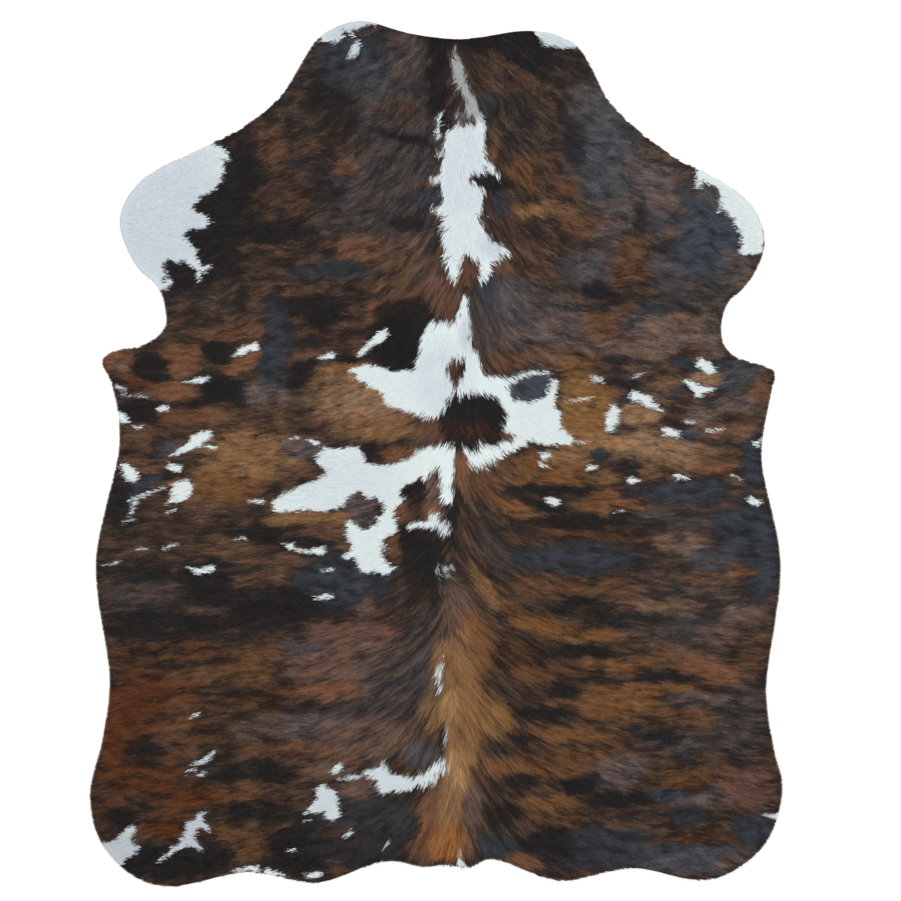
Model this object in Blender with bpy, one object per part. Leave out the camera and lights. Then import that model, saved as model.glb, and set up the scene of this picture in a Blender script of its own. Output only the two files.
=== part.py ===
"""Cowhide rug: one whole tanned hide, laid flat with the hair side up.

Metres, +Z up. +Y runs along the spine towards the neck and +X to the right as seen from above. The origin is
the middle of the hide's box, on the floor. The hide is drafted from its spine line and from the lowest point
of its tail edge, and is then moved so that its box is centred.
"""

import math
from typing import NamedTuple

import bmesh
import bpy
from mathutils import Vector
from mathutils.geometry import delaunay_2d_cdt

# Thickness, from the floor up.
CUT_EDGE_HEIGHT = 0.0036  # leather and the flattened hair at the trimmed edge
COAT_HEIGHT = 0.0068  # leather and the hair lying over it
EDGE_FALL = 0.014  # how far in from the cut the coat rounds down to the edge

# Fineness of the solid.
EDGE_STEP = 0.021  # along the outline
ROW_STEP = 0.046  # between rows of points, along the spine
COLUMN_STEP_AT_SPINE = 0.024
COLUMN_STEP_AT_FLANK = 0.056
SPINE_ZONE = 0.13  # half the width of the strip with the closer columns
CLEAR_OF_EDGE = 0.016  # between the rounded edge and the first points inside it
CURVE_STEPS = 24  # straight steps between two landmarks, before the even spacing
SAME_POINT = 1e-6  # points nearer than this are one point
KEEP_INSIDE = 1  # of the triangles between the points, those within the outline

# Uneven lay of the short coat.
SWELL_HEIGHT = 0.0005
SWELL_LENGTH_X = 0.31
SWELL_LENGTH_Y = 0.43
SWELL_SLANT = 0.6

# The crown of hair on the loin, where the lay of the coat turns.
WHORL_STATION = 0.800
WHORL_OFFSET = -0.030
WHORL_RADIUS = 0.075
WHORL_HEIGHT = 0.0014

# The coat's commonest tone, and how it shades.
BROWN_HAIR = (0.060, 0.032, 0.018, 1.0)
HAIR_ROUGHNESS = 0.62
SHARP_EDGE = math.radians(35)


class FlankMark(NamedTuple):
    """A landmark on both sides of the hide: reach out from the spine line and station up from the tail."""

    name: str
    left_reach: float
    left_station: float
    right_reach: float
    right_station: float


class EdgeMark(NamedTuple):
    """A landmark on the neck or tail edge: offset right of the spine line and station up from the tail."""

    name: str
    offset: float
    station: float


class RidgeMark(NamedTuple):
    """The ridge of longer hair along the spine: its middle, half its width and how far it stands up."""

    station: float
    offset: float
    half_width: float
    rise: float


FLANKS = (
    FlankMark("neck corner", 0.340, 2.165, 0.305, 2.135),
    FlankMark("neck side", 0.450, 2.005, 0.390, 1.990),
    FlankMark("fall of the shoulder", 0.550, 1.925, 0.535, 1.865),
    FlankMark("foreleg, inner top", 0.665, 1.870, 0.700, 1.775),
    FlankMark("foreleg, outer top", 0.805, 1.790, 0.755, 1.720),
    FlankMark("foreleg tip", 0.855, 1.695, 0.780, 1.645),
    FlankMark("foreleg, underside", 0.815, 1.580, 0.765, 1.580),
    FlankMark("foreleg root", 0.758, 1.522, 0.730, 1.525),
    FlankMark("armpit, upper", 0.741, 1.480, 0.685, 1.480),
    FlankMark("armpit, lower", 0.741, 1.420, 0.670, 1.405),
    FlankMark("armpit, outgoing", 0.790, 1.380, 0.695, 1.355),
    FlankMark("belly corner, front", 0.875, 1.360, 0.805, 1.310),
    FlankMark("belly corner", 0.900, 1.335, 0.800, 1.275),
    FlankMark("belly", 0.875, 1.280, 0.790, 1.225),
    FlankMark("waist", 0.855, 1.135, 0.772, 1.095),
    FlankMark("flank", 0.915, 0.825, 0.820, 0.825),
    FlankMark("thigh", 0.880, 0.525, 0.784, 0.500),
    FlankMark("hock", 0.898, 0.380, 0.802, 0.360),
    FlankMark("hind corner, widest", 0.930, 0.235, 0.825, 0.255),
    FlankMark("hind corner, lower", 0.900, 0.115, 0.785, 0.120),
    FlankMark("hind corner, turn", 0.815, 0.030, 0.690, 0.040),
    FlankMark("hind corner, end", 0.725, 0.004, 0.610, 0.020),
)

NECK_EDGE = (
    EdgeMark("left crest", -0.245, 2.200),
    EdgeMark("fall to the dip", -0.120, 2.170),
    EdgeMark("dip at the spine", 0.005, 2.155),
    EdgeMark("right crest", 0.200, 2.175),
)

TAIL_EDGE = (
    EdgeMark("right hollow", 0.440, 0.050),
    EdgeMark("right lobe", 0.255, 0.020),
    EdgeMark("notch right of the tail", 0.085, 0.075),
    EdgeMark("tail root, right", 0.030, 0.055),
    EdgeMark("tail root, middle", -0.030, 0.061),
    EdgeMark("tail root, left", -0.085, 0.055),
    EdgeMark("notch left of the tail", -0.175, 0.070),
    EdgeMark("left lobe", -0.345, 0.015),
    EdgeMark("left hollow", -0.525, 0.040),
)

SPINE_RIDGE = (
    RidgeMark(2.200, 0.000, 0.030, 0.0010),
    RidgeMark(1.900, 0.030, 0.045, 0.0020),
    RidgeMark(1.300, 0.020, 0.040, 0.0018),
    RidgeMark(0.800, -0.030, 0.055, 0.0020),
    RidgeMark(0.550, -0.015, 0.085, 0.0032),
    RidgeMark(0.200, 0.000, 0.070, 0.0032),
    RidgeMark(0.000, 0.005, 0.050, 0.0020),
)


def clear_scene() -> None:
    """Remove the objects that a new file opens with."""
    for thing in list(bpy.data.objects):
        bpy.data.objects.remove(thing, do_unlink=True)


def landmarks() -> list[Vector]:
    """Every landmark once round the hide, clockwise from the neck's left crest."""
    neck = [Vector((mark.offset, mark.station)) for mark in NECK_EDGE]
    right = [Vector((mark.right_reach, mark.right_station)) for mark in FLANKS]
    tail = [Vector((mark.offset, mark.station)) for mark in TAIL_EDGE]
    left = [Vector((-mark.left_reach, mark.left_station)) for mark in reversed(FLANKS)]
    return neck + right + tail + left


def curve_point(before: Vector, start: Vector, end: Vector, after: Vector, part: float) -> Vector:
    """A point between start and end on a centripetal Catmull-Rom curve, which keeps close to its landmarks."""
    t1 = math.sqrt((start - before).length)
    t2 = t1 + math.sqrt((end - start).length)
    t3 = t2 + math.sqrt((after - end).length)
    t = t1 + (t2 - t1) * part
    first = before.lerp(start, t / t1)
    middle = start.lerp(end, part)
    last = end.lerp(after, (t - t2) / (t3 - t2))
    return first.lerp(middle, t / t2).lerp(middle.lerp(last, (t - t1) / (t3 - t1)), part)


def smooth_loop(marks: list[Vector]) -> list[Vector]:
    """A closed curve through the landmarks, in short straight steps."""
    count = len(marks)
    loop = []
    for i in range(count):
        around = (marks[i - 1], marks[i], marks[(i + 1) % count], marks[(i + 2) % count])
        loop += [curve_point(*around, step / CURVE_STEPS) for step in range(CURVE_STEPS)]
    return loop


def evenly_spaced(loop: list[Vector], spacing: float) -> list[Vector]:
    """The closed loop again, with its points the same distance apart, near to the spacing asked for."""
    lengths = [(loop[(i + 1) % len(loop)] - point).length for i, point in enumerate(loop)]
    total = sum(lengths)
    count = round(total / spacing)
    result = []
    i = 0
    passed = 0.0
    for k in range(count):
        wanted = total * k / count
        while passed + lengths[i] < wanted:
            passed += lengths[i]
            i += 1
        result.append(loop[i].lerp(loop[(i + 1) % len(loop)], (wanted - passed) / lengths[i]))
    return result


def box_centre(loop: list[Vector]) -> Vector:
    """The middle of the box round a loop."""
    xs = [point.x for point in loop]
    ys = [point.y for point in loop]
    return Vector(((min(xs) + max(xs)) / 2, (min(ys) + max(ys)) / 2))


def inward(loop: list[Vector], distance: float) -> list[Vector]:
    """A clockwise loop moved in by a distance, square to the line between each point's neighbours."""
    result = []
    for i, point in enumerate(loop):
        along = (loop[(i + 1) % len(loop)] - loop[i - 1]).normalized()
        result.append(point + Vector((along.y, -along.x)) * distance)
    return result


def is_inside(point: Vector, loop: list[Vector]) -> bool:
    """Whether a point lies within a loop, by counting the edges to its right."""
    inside = False
    for i, a in enumerate(loop):
        b = loop[i - 1]
        if (a.y > point.y) != (b.y > point.y) and point.x < a.x + (b.x - a.x) * (point.y - a.y) / (b.y - a.y):
            inside = not inside
    return inside


def column_offsets(reach: float) -> list[float]:
    """Distances from the spine line, close together near it and wider apart on the flanks."""
    offsets = [0.0]
    while offsets[-1] < reach:
        step = COLUMN_STEP_AT_SPINE if offsets[-1] < SPINE_ZONE else COLUMN_STEP_AT_FLANK
        offsets.append(offsets[-1] + step)
    return offsets


def inner_points(shoulder: list[Vector]) -> list[Vector]:
    """Staggered rows of points within the rounded edge, clear of it."""
    low = min(point.y for point in shoulder)
    high = max(point.y for point in shoulder)
    reach = max(abs(point.x) for point in shoulder)
    offsets = column_offsets(reach)
    points = []
    for row in range(1, math.ceil((high - low) / ROW_STEP)):
        y = low + row * ROW_STEP
        for i, offset in enumerate(offsets[:-1]):
            shift = (offsets[i + 1] - offset) / 2 if row % 2 else 0.0
            sides = (1, -1) if offset + shift > 0 else (1,)
            points += [Vector((side * (offset + shift), y)) for side in sides]
    return [
        point
        for point in points
        if is_inside(point, shoulder) and min((point - edge).length for edge in shoulder) > CLEAR_OF_EDGE
    ]


def bump(distance: float, half_width: float) -> float:
    """A smooth hill: 1 in its middle and 0 from half_width outwards."""
    part = min(abs(distance) / half_width, 1.0)
    return 0.5 + 0.5 * math.cos(math.pi * part)


def ridge_rise(x: float, y: float) -> float:
    """How far the ridge of longer hair stands above the short coat at a place in the drafting frame."""
    stretches = list(zip(SPINE_RIDGE, SPINE_RIDGE[1:]))
    upper, lower = next((pair for pair in stretches if y >= pair[1].station), stretches[-1])
    part = (upper.station - y) / (upper.station - lower.station)
    offset = upper.offset + (lower.offset - upper.offset) * part
    half_width = upper.half_width + (lower.half_width - upper.half_width) * part
    rise = upper.rise + (lower.rise - upper.rise) * part
    return rise * bump(x - offset, half_width)


def coat_height(x: float, y: float) -> float:
    """The top of the coat at a place in the drafting frame."""
    whorl = WHORL_HEIGHT * bump(math.hypot(x - WHORL_OFFSET, y - WHORL_STATION), WHORL_RADIUS)
    turn = 2 * math.pi
    across = math.sin(turn * (x + SWELL_SLANT * y) / SWELL_LENGTH_X)
    along = math.cos(turn * (y - SWELL_SLANT * x) / SWELL_LENGTH_Y)
    return COAT_HEIGHT + ridge_rise(x, y) + whorl + SWELL_HEIGHT * across * along


def build_hide() -> bpy.types.Object:
    """The hide as one closed solid: flat below, cut edge all round, and the coat's low relief on top."""
    outline = smooth_loop(landmarks())
    rim = evenly_spaced(outline, EDGE_STEP)
    centre = box_centre(rim)
    shoulder = inward(rim, EDGE_FALL)
    inner = inner_points(shoulder)

    hide = bmesh.new()

    def corner(place: Vector, z: float) -> bmesh.types.BMVert:
        return hide.verts.new((place.x - centre.x, place.y - centre.y, z))

    base = [corner(place, 0.0) for place in rim]
    cut = [corner(place, CUT_EDGE_HEIGHT) for place in rim]
    top = [corner(place, coat_height(place.x, place.y)) for place in shoulder + inner]

    hide.faces.new(base)
    count = len(rim)
    for i in range(count):
        j = (i + 1) % count
        hide.faces.new((base[j], base[i], cut[i], cut[j]))
        hide.faces.new((cut[j], cut[i], top[i], top[j]))

    ring = [(i, (i + 1) % count) for i in range(count)]
    whole = [list(range(count))]
    triangles = delaunay_2d_cdt(shoulder + inner, ring, whole, KEEP_INSIDE, SAME_POINT)[2]
    for triangle in triangles:
        hide.faces.new([top[i] for i in triangle])

    bmesh.ops.triangulate(hide, faces=hide.faces[:])
    bmesh.ops.recalc_face_normals(hide, faces=hide.faces[:])
    mesh = bpy.data.meshes.new("hide")
    hide.to_mesh(mesh)
    hide.free()
    mesh.shade_smooth()
    mesh.set_sharp_from_angle(angle=SHARP_EDGE)
    thing = bpy.data.objects.new("hide", mesh)
    bpy.context.collection.objects.link(thing)
    return thing


def coat_material() -> bpy.types.Material:
    """Dark brown hair with a soft shine, the coat's commonest tone."""
    material = bpy.data.materials.new("brown_hair_coat")
    material.use_nodes = True
    shader = material.node_tree.nodes["Principled BSDF"]
    shader.inputs["Base Color"].default_value = BROWN_HAIR
    shader.inputs["Roughness"].default_value = HAIR_ROUGHNESS
    shader.inputs["Metallic"].default_value = 0.0
    return material


clear_scene()
cowhide = build_hide()
cowhide.data.materials.append(coat_material())
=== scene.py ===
"""Cowhide rug: the looks of a whole hair-on hide laid flat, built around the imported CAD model.

The leather is one closed sheet, suede below and dense underhair above. The coat over it is short flat
blades of hair, combed the way hair lies on a real hide and coloured blade by blade: white patches over a
brindle of black stripes on lighter hair. Metres, +Y along the spine towards the neck, +Z up.
"""

import logging
import math
from dataclasses import dataclass, field
from enum import Enum
from itertools import chain
from typing import NamedTuple

import bpy
import numpy as np
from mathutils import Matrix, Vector
from mathutils.bvhtree import BVHTree
from mathutils.geometry import delaunay_2d_cdt


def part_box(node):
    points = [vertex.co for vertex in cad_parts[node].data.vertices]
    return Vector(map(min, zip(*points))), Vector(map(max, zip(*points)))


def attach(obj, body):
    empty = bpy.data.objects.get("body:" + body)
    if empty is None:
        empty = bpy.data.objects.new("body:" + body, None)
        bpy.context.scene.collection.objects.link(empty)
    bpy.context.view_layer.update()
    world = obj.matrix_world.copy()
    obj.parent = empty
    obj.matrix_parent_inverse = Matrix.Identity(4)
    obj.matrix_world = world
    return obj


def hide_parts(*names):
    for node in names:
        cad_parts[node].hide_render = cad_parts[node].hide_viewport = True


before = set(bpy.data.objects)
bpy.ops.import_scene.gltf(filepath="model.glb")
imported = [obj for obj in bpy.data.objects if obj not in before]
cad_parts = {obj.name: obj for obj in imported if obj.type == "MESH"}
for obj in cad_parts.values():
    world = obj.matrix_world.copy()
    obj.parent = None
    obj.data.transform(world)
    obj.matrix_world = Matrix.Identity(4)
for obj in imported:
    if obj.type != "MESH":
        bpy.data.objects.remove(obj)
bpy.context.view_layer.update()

LOG = logging.getLogger("cowhide_rug")
HIDE_LOW, HIDE_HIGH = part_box("hide")
INSIDE_ONLY = 1  # of the faces that the triangulation finds, those within the outline
SAME_POINT = 1e-6  # points nearer than this are one point
NO_SPAN = 1e-9  # keeps a stroke of no length from dividing by nothing
LAST_CELL = 1.001  # steps that a place is kept short of a grid's end, so that it has a next point


class Tone(Enum):
    """The coat's zones: light hair's linear colour, how much black lies over it, and how much painted bluish
    sky sheen lies on that black.
    """

    BLACK = (0.050, 0.036, 0.030), 1.00, 0.10
    SOLID_BLACK = (0.040, 0.030, 0.028), 1.60, 0.10
    BLUE_BLACK = (0.060, 0.056, 0.060), 0.98, 0.90
    WINE_BLACK = (0.085, 0.040, 0.028), 0.66, 0.05
    OVAL_GREY = (0.085, 0.082, 0.092), 1.20, 1.60
    SLATE = (0.092, 0.088, 0.097), 0.52, 1.00
    VIOLET_GREY = (0.082, 0.065, 0.061), 0.50, 0.34
    GREY_BROWN = (0.142, 0.110, 0.103), 0.40, 0.60
    OLIVE_BROWN = (0.088, 0.060, 0.042), 0.60, 0.16
    DARK_BROWN = (0.098, 0.058, 0.038), 0.58, 0.12
    CHOCOLATE = (0.098, 0.048, 0.024), 0.54, 0.06
    TAWNY = (0.133, 0.066, 0.030), 0.37, 0.06
    BROWN = (0.132, 0.074, 0.046), 0.40, 0.12
    CHESTNUT = (0.103, 0.053, 0.038), 0.10, 0.10
    AUBURN = (0.185, 0.088, 0.053), 0.10, 0.05
    RED_BROWN = (0.108, 0.038, 0.014), 0.36, 0.03
    ROSE_BROWN = (0.150, 0.094, 0.072), 0.28, 0.30
    PINK_BROWN = (0.138, 0.072, 0.055), 0.18, 0.20
    RUST_BROWN = (0.134, 0.067, 0.037), 0.34, 0.08
    RUST = (0.177, 0.083, 0.046), 0.18, 0.06
    ORANGE = (0.285, 0.122, 0.038), 0.10, 0.05
    GOLD_BROWN = (0.174, 0.084, 0.034), 0.20, 0.05
    UMBER = (0.078, 0.044, 0.030), 0.44, 0.08
    SAND = (0.290, 0.182, 0.106), 0.08, 0.05
    FAWN = (0.185, 0.126, 0.098), 0.22, 0.40
    STEEL = (0.062, 0.078, 0.096), 0.80, 1.35
    OCHRE = (0.226, 0.127, 0.060), 0.16, 0.05
    HONEY = (0.234, 0.124, 0.047), 0.12, 0.04
    GOLD = (0.208, 0.112, 0.050), 0.08, 0.05
    PALE_GOLD = (0.318, 0.186, 0.088), 0.04, 0.05

    def __init__(self, light_hair: tuple[float, float, float], black_share: float, frost: float) -> None:
        """Keep the zone's five numbers in a row."""
        self.numbers = np.array([*light_hair, black_share, frost])


class Stroke(NamedTuple):
    """A tapered stroke of hair, read in pixels of the photograph: two ends and their radii."""

    column: float
    row: float
    radius: float
    end_column: float
    end_row: float
    end_radius: float


class ToneMark(NamedTuple):
    """A soft oval zone of the coat, read in pixels of the photograph.

    Its tilt is in degrees, downhill to the right.
    """

    column: float
    row: float
    half_width: float
    half_height: float
    tone: Tone
    strength: float = 1.0
    tilt: float = 0.0


class ShadeMark(NamedTuple):
    """A soft oval where the white hair is darker: 1 is a painted bluish shade, and 2 is grey roan."""

    column: float
    row: float
    half_width: float
    half_height: float
    shade: float


class LayMark(NamedTuple):
    """How the hair lies at one pixel row: the spine's column, its fan, the flank's slope, and the ruffle."""

    row: float
    spine_column: float
    fan: float
    fan_width: float
    flank_slope: float
    ruffle: float


class LengthMark(NamedTuple):
    """The hair's length at one pixel row: on the spine, and half the width of the strip of longer hair."""

    row: float
    spine_length: float
    half_width: float


def strokes(*rows: tuple[float, ...]) -> tuple[Stroke, ...]:
    """Strokes from rows of column, row, radius, end column, end row and end radius."""
    return tuple(Stroke(*row) for row in rows)


def tone_marks(*rows: tuple) -> tuple[ToneMark, ...]:
    """Tone marks from rows of column, row, half width, half height, tone, and maybe strength and tilt."""
    return tuple(ToneMark(*row) for row in rows)


WHITE_PATCHES = {
    "left foreleg": strokes(
        (200, 158, 20, 150, 200, 44), (150, 200, 44, 150, 250, 32), (210, 170, 14.5, 204, 180, 15),
        (180, 218, 14, 200, 222, 8), (172, 245, 18, 188, 252, 9), (190, 258, 6.5, 201, 268, 6),
        (140, 262, 14, 158, 283, 7), (203, 267, 4.5, 212, 266, 1), (200, 270, 5, 198, 279, 2),
        (219, 153, 7, 226, 158, 3.5), (168, 283, 4, 164, 286, 4),
    ),
    "right foreleg": strokes(
        (703, 172, 8, 735, 190, 14), (736, 200, 14, 752, 225, 14), (752, 225, 14, 754, 244, 11),
        (700, 176, 4, 697, 189, 1.5), (746, 236, 8, 745, 250, 5), (722, 200, 5, 719, 213, 2),
    ),
    "left neck corner": strokes(
        (326, 35, 7.5, 334, 34, 9.5), (345, 24, 8, 374, 20, 6), (351, 27, 4.5, 350.5, 37, 1.2),
        (358, 42, 2, 356.5, 50, 4.5), (355.5, 52, 4, 350, 58, 1.5),
    ),
    "right neck corner": strokes(
        (540, 31, 7, 568, 38, 10), (547, 41, 6.5, 572, 43, 6),
    ),
    "nape streak": strokes(
        (455, 50, 0.4, 457, 58, 1.6), (454, 62, 4, 459, 67, 6), (459, 67, 6, 461, 84, 5.2),
        (461, 84, 5.2, 471, 102, 5.2), (471, 102, 5.2, 475, 116, 7.5), (456, 116, 1.5, 474, 114, 3),
        (441, 114, 1.2, 438, 129, 2.6), (438, 129, 2.6, 439, 138, 2),
    ),
    "blaze": strokes(
        (474, 130, 12, 458, 140, 14), (463, 146, 19, 464, 165, 21), (460, 165, 18, 459, 200, 18),
        (459, 200, 18, 460, 220, 19), (474, 196, 10, 470, 213, 11), (475, 138, 10.5, 476, 158, 9.5),
        (460, 220, 19, 462, 248, 20), (474, 227, 12, 488, 250, 15), (452, 256, 10, 453, 272, 6),
        (453, 272, 6, 455, 284, 1), (488, 256, 10, 482, 281, 2), (500, 250, 7, 509, 256, 1.5),
        (444, 154, 4, 435, 155, 1), (444, 181, 5, 431, 181, 1.2), (444, 211, 6, 433, 211, 1.6),
        (484, 163, 4.4, 500, 180, 1.2),
    ),
    "saddle star": strokes(
        (466, 288, 0.8, 466, 303, 4), (465, 303, 3.5, 463, 328, 9), (448, 336, 14, 446, 360, 20),
        (434, 333, 10, 426, 350, 9), (459, 330, 9.5, 461, 354, 12.5), (436, 350, 14, 436, 376, 26),
        (364, 374, 9, 402, 387, 18), (397, 393, 16, 430, 399, 21), (352, 370, 2.5, 366, 370, 6),
        (383, 334, 4.5, 375, 341, 5), (374, 342, 4.5, 360, 353, 3), (468, 361, 11.5, 472, 388, 16),
        (472, 388, 16, 500, 392, 15), (508, 386, 6, 530, 374, 3.5), (530, 374, 3.5, 548, 374, 3),
        (505, 400, 10, 524, 420, 19), (524, 424, 20, 546, 422, 17), (554, 382, 3, 550, 404, 6),
        (530, 413, 10, 547, 405, 9), (548, 434, 13, 568, 440, 6), (514, 434, 17, 490, 453, 11),
        (490, 452, 10, 475, 463, 7), (474, 458, 7, 467, 452, 4),
    ),
    "left saddle": strokes(
        (328, 459, 11, 352, 462, 15), (342, 476, 18, 385, 488, 22), (385, 486, 22, 414, 471, 15),
        (414, 463, 12, 446, 456, 11), (446, 460, 9, 447, 484, 8), (447, 484, 8, 448, 500, 6),
        (330, 492, 18, 288, 502, 10), (288, 502, 10, 280, 505, 8), (318, 502, 10, 336, 500, 9),
        (385, 505, 12, 388, 524, 9), (356, 528, 12, 368, 545, 18), (388, 524, 9, 372, 545, 16),
        (366, 563, 10, 386, 566, 8), (386, 567, 6, 394, 566, 3), (352, 554, 5, 344, 557, 1.5),
        (410, 526, 3, 436, 524, 5), (432, 516, 4, 446, 531, 5),
    ),
    "tail cross": strokes(
        (366, 773, 3, 382, 775, 9), (382, 763, 2, 384, 786, 8.5), (384, 784, 8, 412, 784, 6.5),
        (390, 777, 4.5, 406, 780, 4), (412, 784, 6, 432, 776, 5.5), (431, 775, 6, 440, 767, 5.5),
        (337, 779, 0.6, 356, 777, 2.6), (356, 777, 2, 366, 775, 2),
    ),
    "left buttock": strokes(
        (321, 790, 6, 328, 800, 10), (328, 800, 11, 332, 812, 8), (320, 804, 7, 306, 813, 1.5),
    ),
    "left hind corner": strokes(
        (104, 852, 10, 122, 842, 10), (124, 838, 7, 132, 829, 3.5), (118, 855, 10, 130, 850, 6),
        (130, 850, 5, 138, 847, 2),
    ),
    "left hind slash": strokes(
        (191, 828, 6.5, 199, 820, 5), (198, 818, 4, 204, 813, 1.5), (200, 824, 5, 208, 828, 2.5),
        (188, 835, 6.5, 184, 842, 5), (182, 844, 4, 157, 863, 0.6), (192, 842, 5, 202, 850, 1.5),
    ),
}

WHITE_FLECKS = {
    "left belly": strokes(
        (256, 346, 4.5, 242, 351, 3.5), (242, 351, 3.5, 232, 356, 1), (330, 356, 4, 320, 358, 1.4),
        (204, 379, 3.4, 186, 383, 0.8), (150, 398, 0.8, 122, 395, 1.2), (117, 387, 2.6, 125, 391, 1.4),
        (165, 409, 4.4, 158, 410, 1.5), (120, 416, 4.6, 123, 419, 5), (143, 427, 0.9, 132, 427, 0.6),
        (208, 434, 4.6, 196, 440, 6), (196, 442, 6.5, 184, 450, 3.5), (184, 450, 3.5, 172, 456, 0.8),
        (208, 446, 3, 218, 447, 0.8), (316, 443, 3.5, 308, 440, 0.8), (298, 437, 1, 286, 441, 0.5),
        (132, 475, 7, 124, 467, 3.6), (177, 468, 4.5, 166, 467, 1.6), (186, 488, 8.4, 180, 493, 8.2),
        (178, 497, 4.6, 167, 504, 0.8), (171, 485, 1.6, 180, 484, 4), (166, 487, 1.0, 142, 496, 1.5),
        (142, 496, 1.5, 127, 501, 0.4), (135, 502, 2.6, 130, 514, 1.6), (136, 519, 1.3, 123, 523, 1.5),
        (262, 501, 2.6, 249, 501, 1.2), (176, 509, 1.2, 166, 511, 0.4),
    ),
    "left flank": strokes(
        (147, 549, 1.6, 136, 549, 0.4), (178, 545, 2, 164, 548, 1), (118, 561, 1.4, 104, 565, 0.6),
        (212, 568, 3.4, 196, 571, 3.6), (196, 571, 3, 188, 567, 0.6), (246, 538, 1, 232, 540, 0.3),
        (290, 546, 3.4, 282, 544, 1), (292, 547, 1.6, 306, 552, 2), (306, 552, 2.4, 322, 550, 4.4),
        (332, 570, 1.6, 320, 570, 0.8), (329, 596, 3.2, 318, 597, 1.8),
    ),
    "left hind": strokes(
        (198, 714, 2.4, 191, 718, 0.8), (215, 751, 1, 206, 758, 3), (206, 758, 3, 194, 765, 1),
        (194, 769, 1.6, 185, 774, 0.6), (206, 773, 1.6, 198, 777, 1), (338, 768, 4, 334, 772, 3.2),
        (266, 872, 4, 284, 875, 1), (232, 871, 1, 256, 868, 3.4), (318, 875, 4, 308, 876, 3),
        (294, 848, 2, 286, 851, 1), (387, 843, 2, 383, 850, 0.6), (350, 833, 2.2, 344, 837, 0.8),
        (310, 820, 1, 304, 822, 0.4),
    ),
    "spine": strokes(
        (440, 669, 3.6, 439.5, 682, 2.8), (439.5, 682, 2.4, 439.5, 693, 0.5),
        (446.5, 726, 0.8, 445.5, 742, 1.5), (449, 762, 1.2, 447, 769, 1.0), (460, 856, 2, 462, 866, 5),
        (437, 571, 2, 450, 568, 2.6), (438, 577, 0.8, 450, 576, 1.2),
    ),
    "right belly": strokes(
        (594, 380, 3.6, 602, 380, 2.4), (635, 377, 2.4, 641, 374, 1.6), (702, 364, 6, 712, 370, 5),
        (687, 382, 3.6, 699, 391, 5.4), (700, 392, 4, 716, 388, 1.2), (635, 395, 4.5, 647, 401, 5.6),
        (647, 401, 5.6, 663, 411, 0.8), (566, 402, 1.4, 592, 398, 0.8), (613.5, 412, 6, 611.5, 426, 5.5),
        (668, 432, 4.2, 676, 434, 3), (708, 431, 2, 724, 430, 0.8), (576, 443, 1.6, 586, 442, 0.4),
        (688, 422, 2.6, 696, 424, 1), (758, 444, 3, 762, 440, 2),
    ),
    "right flank": strokes(
        (542, 457, 3.4, 548, 456, 3), (542, 465, 2.4, 548, 467, 1), (589, 468, 2.6, 598, 468, 1),
        (630, 480, 4, 640, 480, 1.4), (678, 477, 3.6, 688, 478, 1.2), (732, 475, 1.2, 745, 481, 0.4),
        (549, 500, 3.6, 556, 502, 4.4), (752, 501, 4, 760, 503, 2.4), (616, 512, 1.2, 624, 511, 0.4),
        (764, 815, 1, 778, 815, 3.4),
    ),
}

DARK_BAYS = {
    "foreleg": strokes(
        (208, 205, 8.5, 216, 206, 11), (190, 234, 1.5, 204, 240, 8), (203, 244, 9, 208, 256, 9.5),
        (169, 266, 6, 180, 276, 10), (182, 278, 10, 184, 292, 10), (170, 292, 4, 166, 296, 4),
    ),
    "left hind corner": strokes(
        (99, 838, 7.5, 113, 833, 5),
    ),
    "right foreleg": strokes(
        (710, 194, 9, 712, 205, 9), (722, 233, 10, 735, 236, 7.5),
    ),
    "blaze": strokes(
        (459, 127, 2, 473, 121, 2.6), (475, 179, 4.6, 494, 188, 7), (494, 198, 4, 493, 214, 4.5),
        (487, 220, 7.5, 502, 236, 9.5), (467, 262, 6, 469, 288, 10),
    ),
    "star": strokes(
        (472, 421, 26, 482, 417, 24), (494, 434, 7, 510, 439, 4), (476, 434, 11, 494, 440, 6),
        (450, 423, 12.5, 437, 431, 11.5), (447, 403, 1.4, 451, 412, 4.5), (520, 391, 10.5, 541, 383, 9),
        (456, 370, 9.5, 456, 386, 2), (460, 370, 5, 464, 362, 2), (420, 316, 6, 404, 330, 13),
        (405, 336, 15, 396, 356, 15), (388, 352, 10, 368, 355, 3), (500, 360, 8, 512, 366, 8),
    ),
    "saddle": strokes(
        (358, 506, 9, 374, 508, 9), (357, 497, 5, 357, 502, 7), (410, 492, 9, 421, 489, 9.5),
        (430, 503, 9, 433, 497, 8), (396, 514, 4, 420, 512, 9), (354, 518, 4, 365, 524, 6.5),
        (397, 548, 14.5, 394, 554, 12), (374, 452, 7, 390, 456, 9), (390, 454, 9, 408, 452, 6),
    ),
    "wedge on the spine": strokes(
        (459, 454, 2.5, 459, 486, 6.5),
    ),
}

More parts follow.
